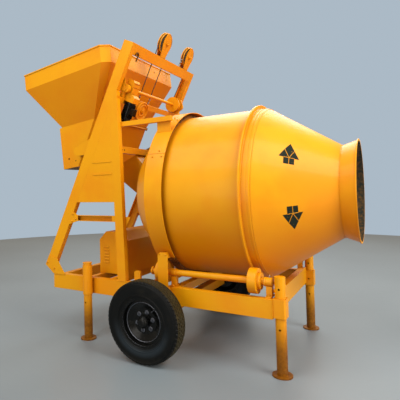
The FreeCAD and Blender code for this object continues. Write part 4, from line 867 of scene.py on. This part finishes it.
# forks that hold the two upper sheaves, with axle nuts; dark discs beside the wheels and a dark ring in their
# grooves are painted shade
fork = {"outline": ((-37, -151), (66, -151), (96, -12), (80, 42), (46, 88), (-8, 112),
                    (-50, 92), (-74, 40), (-72, -15)), "inner": 23, "thick": 8, "pin": 0.021,
        "bridge": ((-44, 99), (-8, 118), (26, 109), (22, 101), (-8, 110), (-42, 91)),
        "bridgeStart": -30, "bridgeWide": 0.060, "nutOut": 31, "nut": 0.021, "stud": 0.008}
gapShade = {"disc": ((0.0102, 0.05), (0.0104, 0.1090), (0.0205, 0.1090), (0.0207, 0.05)),
          "groove": ((-0.004, 0.1060), (-0.004, 0.1105), (0.004, 0.1105), (0.004, 0.1060))}


def byFork(outline, across, y):  # an outline of (side, up) beside a sheave
    return [onRail(hoist["along"] + up, hoist["across"] + across, y + side)
            for side, up in outline]


stock = Stock()
for y in (hoist["middleY"], hoist["farY"]):
    for across in (-fork["inner"] - fork["thick"], fork["inner"]):
        stock.slab(byFork(fork["outline"], across, y), offRail * fork["thick"] / 1000)
    stock.slab(byFork(fork["bridge"], fork["bridgeStart"], y), offRail * fork["bridgeWide"])
    stock.turn(onRail(hoist["along"], hoist["across"] - fork["inner"], y), offRail,
               [(0, fork["pin"]), (2 * fork["inner"] / 1000, fork["pin"])], 20)
piece = stock.piece("sheave_forks", "frame", "yellow_paint", bevel=0.002)
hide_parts("sheave_cheeks")
stock = Stock()
for y in (hoist["middleY"], hoist["farY"]):
    for way in (-1, 1):
        spot = onRail(hoist["along"], hoist["across"] + way * fork["nutOut"], y)
        stock.bolt(spot, offRail * way, fork["nut"], fork["stud"])
stock.piece("sheave_nuts", "frame", "yellow_paint")
# dark discs in the gaps beside each wheel and a dark ring in its groove: painted shade
for name in ("middle", "far"):
    stock = Stock()
    spot = onRail(hoist["along"], hoist["across"], hoist[name + "Y"])
    for way in (-1, 1):
        stock.turn(spot, offRail * way, gapShade["disc"], 72)
    stock.turn(spot, offRail, gapShade["groove"], 72)
    stock.piece("sheave_gap_shades_" + name, "sheave_" + name, "gear_iron", rope)

# bracket plate beside the gear case, and its hole as a near-black disc of painted shade
bracket = {"outline": ((-466, 2783), (-392, 2738), (-413, 2604), (-497, 2640)), "y": -640,
           "thick": 0.008, "holeX": -422, "holeZ": 2722,
           "hole": ((-0.001, 0.011), (0.0006, 0.011), (0.0008, 0.009))}
stock = Stock()
stock.slab([at(x, bracket["y"], z) for x, z in bracket["outline"]], acrossWay * bracket["thick"])
stock.piece("hoist_bracket", "frame", "yellow_paint", bevel=0.001)
stock = Stock()
stock.turn(at(bracket["holeX"], bracket["y"], bracket["holeZ"]), -acrossWay, bracket["hole"], 20)
stock.piece("bracket_hole", "frame", "yellow_paint", holeShade)
print("hoist dressed")


# hopper: trunnion rings with a greased face inside each
trunnion = {"x": -1084, "z": 2019.5, "out": 700, "ring": 0.050, "bead": 0.004,
            "collar": ((0.0, 0.040), (0.010, 0.040), (0.012, 0.036), (0.024, 0.036),
                       (0.025, 0.031)),
            "grease": ((0.0, 0.031), (0.0022, 0.031), (0.0022, 0.048), (0.0, 0.048))}
sides = []
for way in (-1, 1):
    start = at(trunnion["x"], way * trunnion["out"], trunnion["z"])
    sides.append((seat("hopper", start, acrossWay * -way)[0], acrossWay * way))
stock = Stock()
for spot, outward in sides:
    stock.bead(circle(spot, outward, trunnion["ring"], 60), trunnion["bead"], True)
    stock.turn(spot, outward, trunnion["collar"], 36)
stock.piece("trunnion_rings", "hopper", "hopper_paint")
stock = Stock()
for spot, outward in sides:
    stock.turn(spot, outward, trunnion["grease"], 60, ringed=True)
stock.piece("trunnion_grease", "hopper", "gear_iron")
print("hopper dressed")


# welds of the frame, from end to end on the far side and mirrored, and along the guard band
welds = {"runs": (((1071, 713.5, 482), (1071, 713.5, 632)),
                  ((-500, 714, 634.5), (-399, 714, 634.5)),
                  ((-315, 714, 634.5), (-243, 714, 634.5)),
                  ((-1399, 714, 634.5), (-1229, 714, 634.5))), "step": 0.006, "bead": 0.0035,
         "bandStart": -48, "bandStep": 6, "bandCount": 32, "bandRadius": 887.5,
         "bandAngle": 26.6, "bandBead": 0.0026}
stock = Stock()
for run in welds["runs"]:
    for way in (-1, 1):
        start, end = (at(x, way * y, z) for x, y, z in run)
        stock.bead(line(start, end, welds["step"]), welds["bead"])
band = [onDrum(welds["bandStart"] + i * welds["bandStep"], welds["bandRadius"],
               welds["bandAngle"]) for i in range(welds["bandCount"])]
for way in (-1, 1):
    stock.bead([onSide(spot, way) for spot in band], welds["bandBead"])
stock.piece("frame_welds", "frame", "yellow_paint")

# locking rings at the front shaft bearings, with their end bolts
collar = {"x": 1058, "boltX": 1066, "y": (-632, 632), "z": 760, "bolt": 0.011, "stud": 0.003,
          "ring": ((0.0, 0.033), (0.004, 0.036), (0.006, 0.036), (0.007, 0.032))}
stock = Stock()
for y in collar["y"]:
    stock.turn(at(collar["x"], y, collar["z"]), lengthWay, collar["ring"], 32)
    stock.bolt(at(collar["boltX"], y, collar["z"]), lengthWay, collar["bolt"], collar["stud"])
stock.piece("shaft_end_caps", "frame", "yellow_paint")
print("frame dressed")


# floor, lights and camera
stage = {"radius": 10.5, "below": 0.0005, "sky": 0.42, "skyTint": (1.0, 0.87, 0.70, 1.0),
         "backdrop": (0.41, 0.49, 0.565, 1.0)}
lights = {  # place, target, size, power and colour
    "keyLight": ((-1.6, -4.6, 7.4), (0.2, 0.0, 1.2), 5.5, 285.0, (1.0, 0.98, 0.95)),
    "fillLight": ((6.2, -1.8, 6.4), (0.3, 0.0, 1.4), 4.5, 430.0, (1.0, 0.95, 0.88)),
    "frontLight": ((-0.5, -8.5, 2.4), (0.0, 0.0, 1.5), 5.0, 165.0, (1.0, 0.96, 0.90)),
    "lowLight": ((7.0, -1.2, 1.0), (-1.0, 0.0, 2.2), 4.0, 190.0, (1.0, 0.93, 0.84)),
    "backLight": ((-0.5, 5.5, 7.5), (0.0, 0.0, 1.5), 7.0, 560.0, (1.0, 0.98, 0.95))}

floorMesh = bpy.data.meshes.new("floor")
built = bmesh.new()
bmesh.ops.create_circle(built, cap_ends=True, segments=128, radius=stage["radius"])
built.to_mesh(floorMesh)
built.free()
floor = bpy.data.objects.new("floor", floorMesh)
scene.collection.objects.link(floor)
floorMesh.materials.append(studioFloor("studioFloor"))
floor.location.z = -stage["below"]

for name, (place, target, size, power, colour) in lights.items():
    lamp = bpy.data.lights.new(name, "AREA")
    lamp.shape = "DISK"
    lamp.size = size
    lamp.energy = power
    lamp.color = colour
    holder = bpy.data.objects.new(name, lamp)
    holder.location = place
    holder.visible_camera = False
    toward = Vector(target) - Vector(place)
    holder.rotation_euler = toward.to_track_quat("-Z", "Y").to_euler()
    scene.collection.objects.link(holder)

world = bpy.data.worlds.new("studio")
scene.world = world
world.use_nodes = True
tree = world.node_tree
sky = tree.nodes["Background"]
sky.inputs["Color"].default_value = stage["skyTint"]
sky.inputs["Strength"].default_value = stage["sky"]
backdrop = tree.nodes.new("ShaderNodeBackground")
backdrop.inputs["Color"].default_value = stage["backdrop"]
seen = tree.nodes.new("ShaderNodeLightPath")
either = tree.nodes.new("ShaderNodeMixShader")
tree.links.new(seen.outputs["Is Camera Ray"], either.inputs[0])
tree.links.new(sky.outputs[0], either.inputs[1])
tree.links.new(backdrop.outputs[0], either.inputs[2])
tree.links.new(either.outputs[0], tree.nodes["World Output"].inputs["Surface"])
scene.view_settings.view_transform = "Standard"

view = {"place": (2.0275, -4.0924, 1.5664), "yaw": -32.2123, "pitch": 1.2609, "roll": -1.3429,
        "lens": 36.17, "shiftX": 0.1412, "shiftY": -0.0475}
yaw, pitch, roll = (math.radians(view[key]) for key in ("yaw", "pitch", "roll"))
ahead = Vector((math.sin(yaw) * math.cos(pitch), math.cos(yaw) * math.cos(pitch), math.sin(pitch)))
level = Vector((math.cos(yaw), -math.sin(yaw), 0.0))
upward = level.cross(ahead)
right = math.cos(roll) * level + math.sin(roll) * upward
upward = math.cos(roll) * upward - math.sin(roll) * level
camera = bpy.data.objects.new("camera", bpy.data.cameras.new("camera"))
camera.data.lens = view["lens"]
camera.data.shift_x = view["shiftX"]
camera.data.shift_y = view["shiftY"]
camera.matrix_world = Matrix((right, upward, -ahead)).transposed().to_4x4()
camera.location = view["place"]
scene.collection.objects.link(camera)
scene.camera = camera
print("studio made")
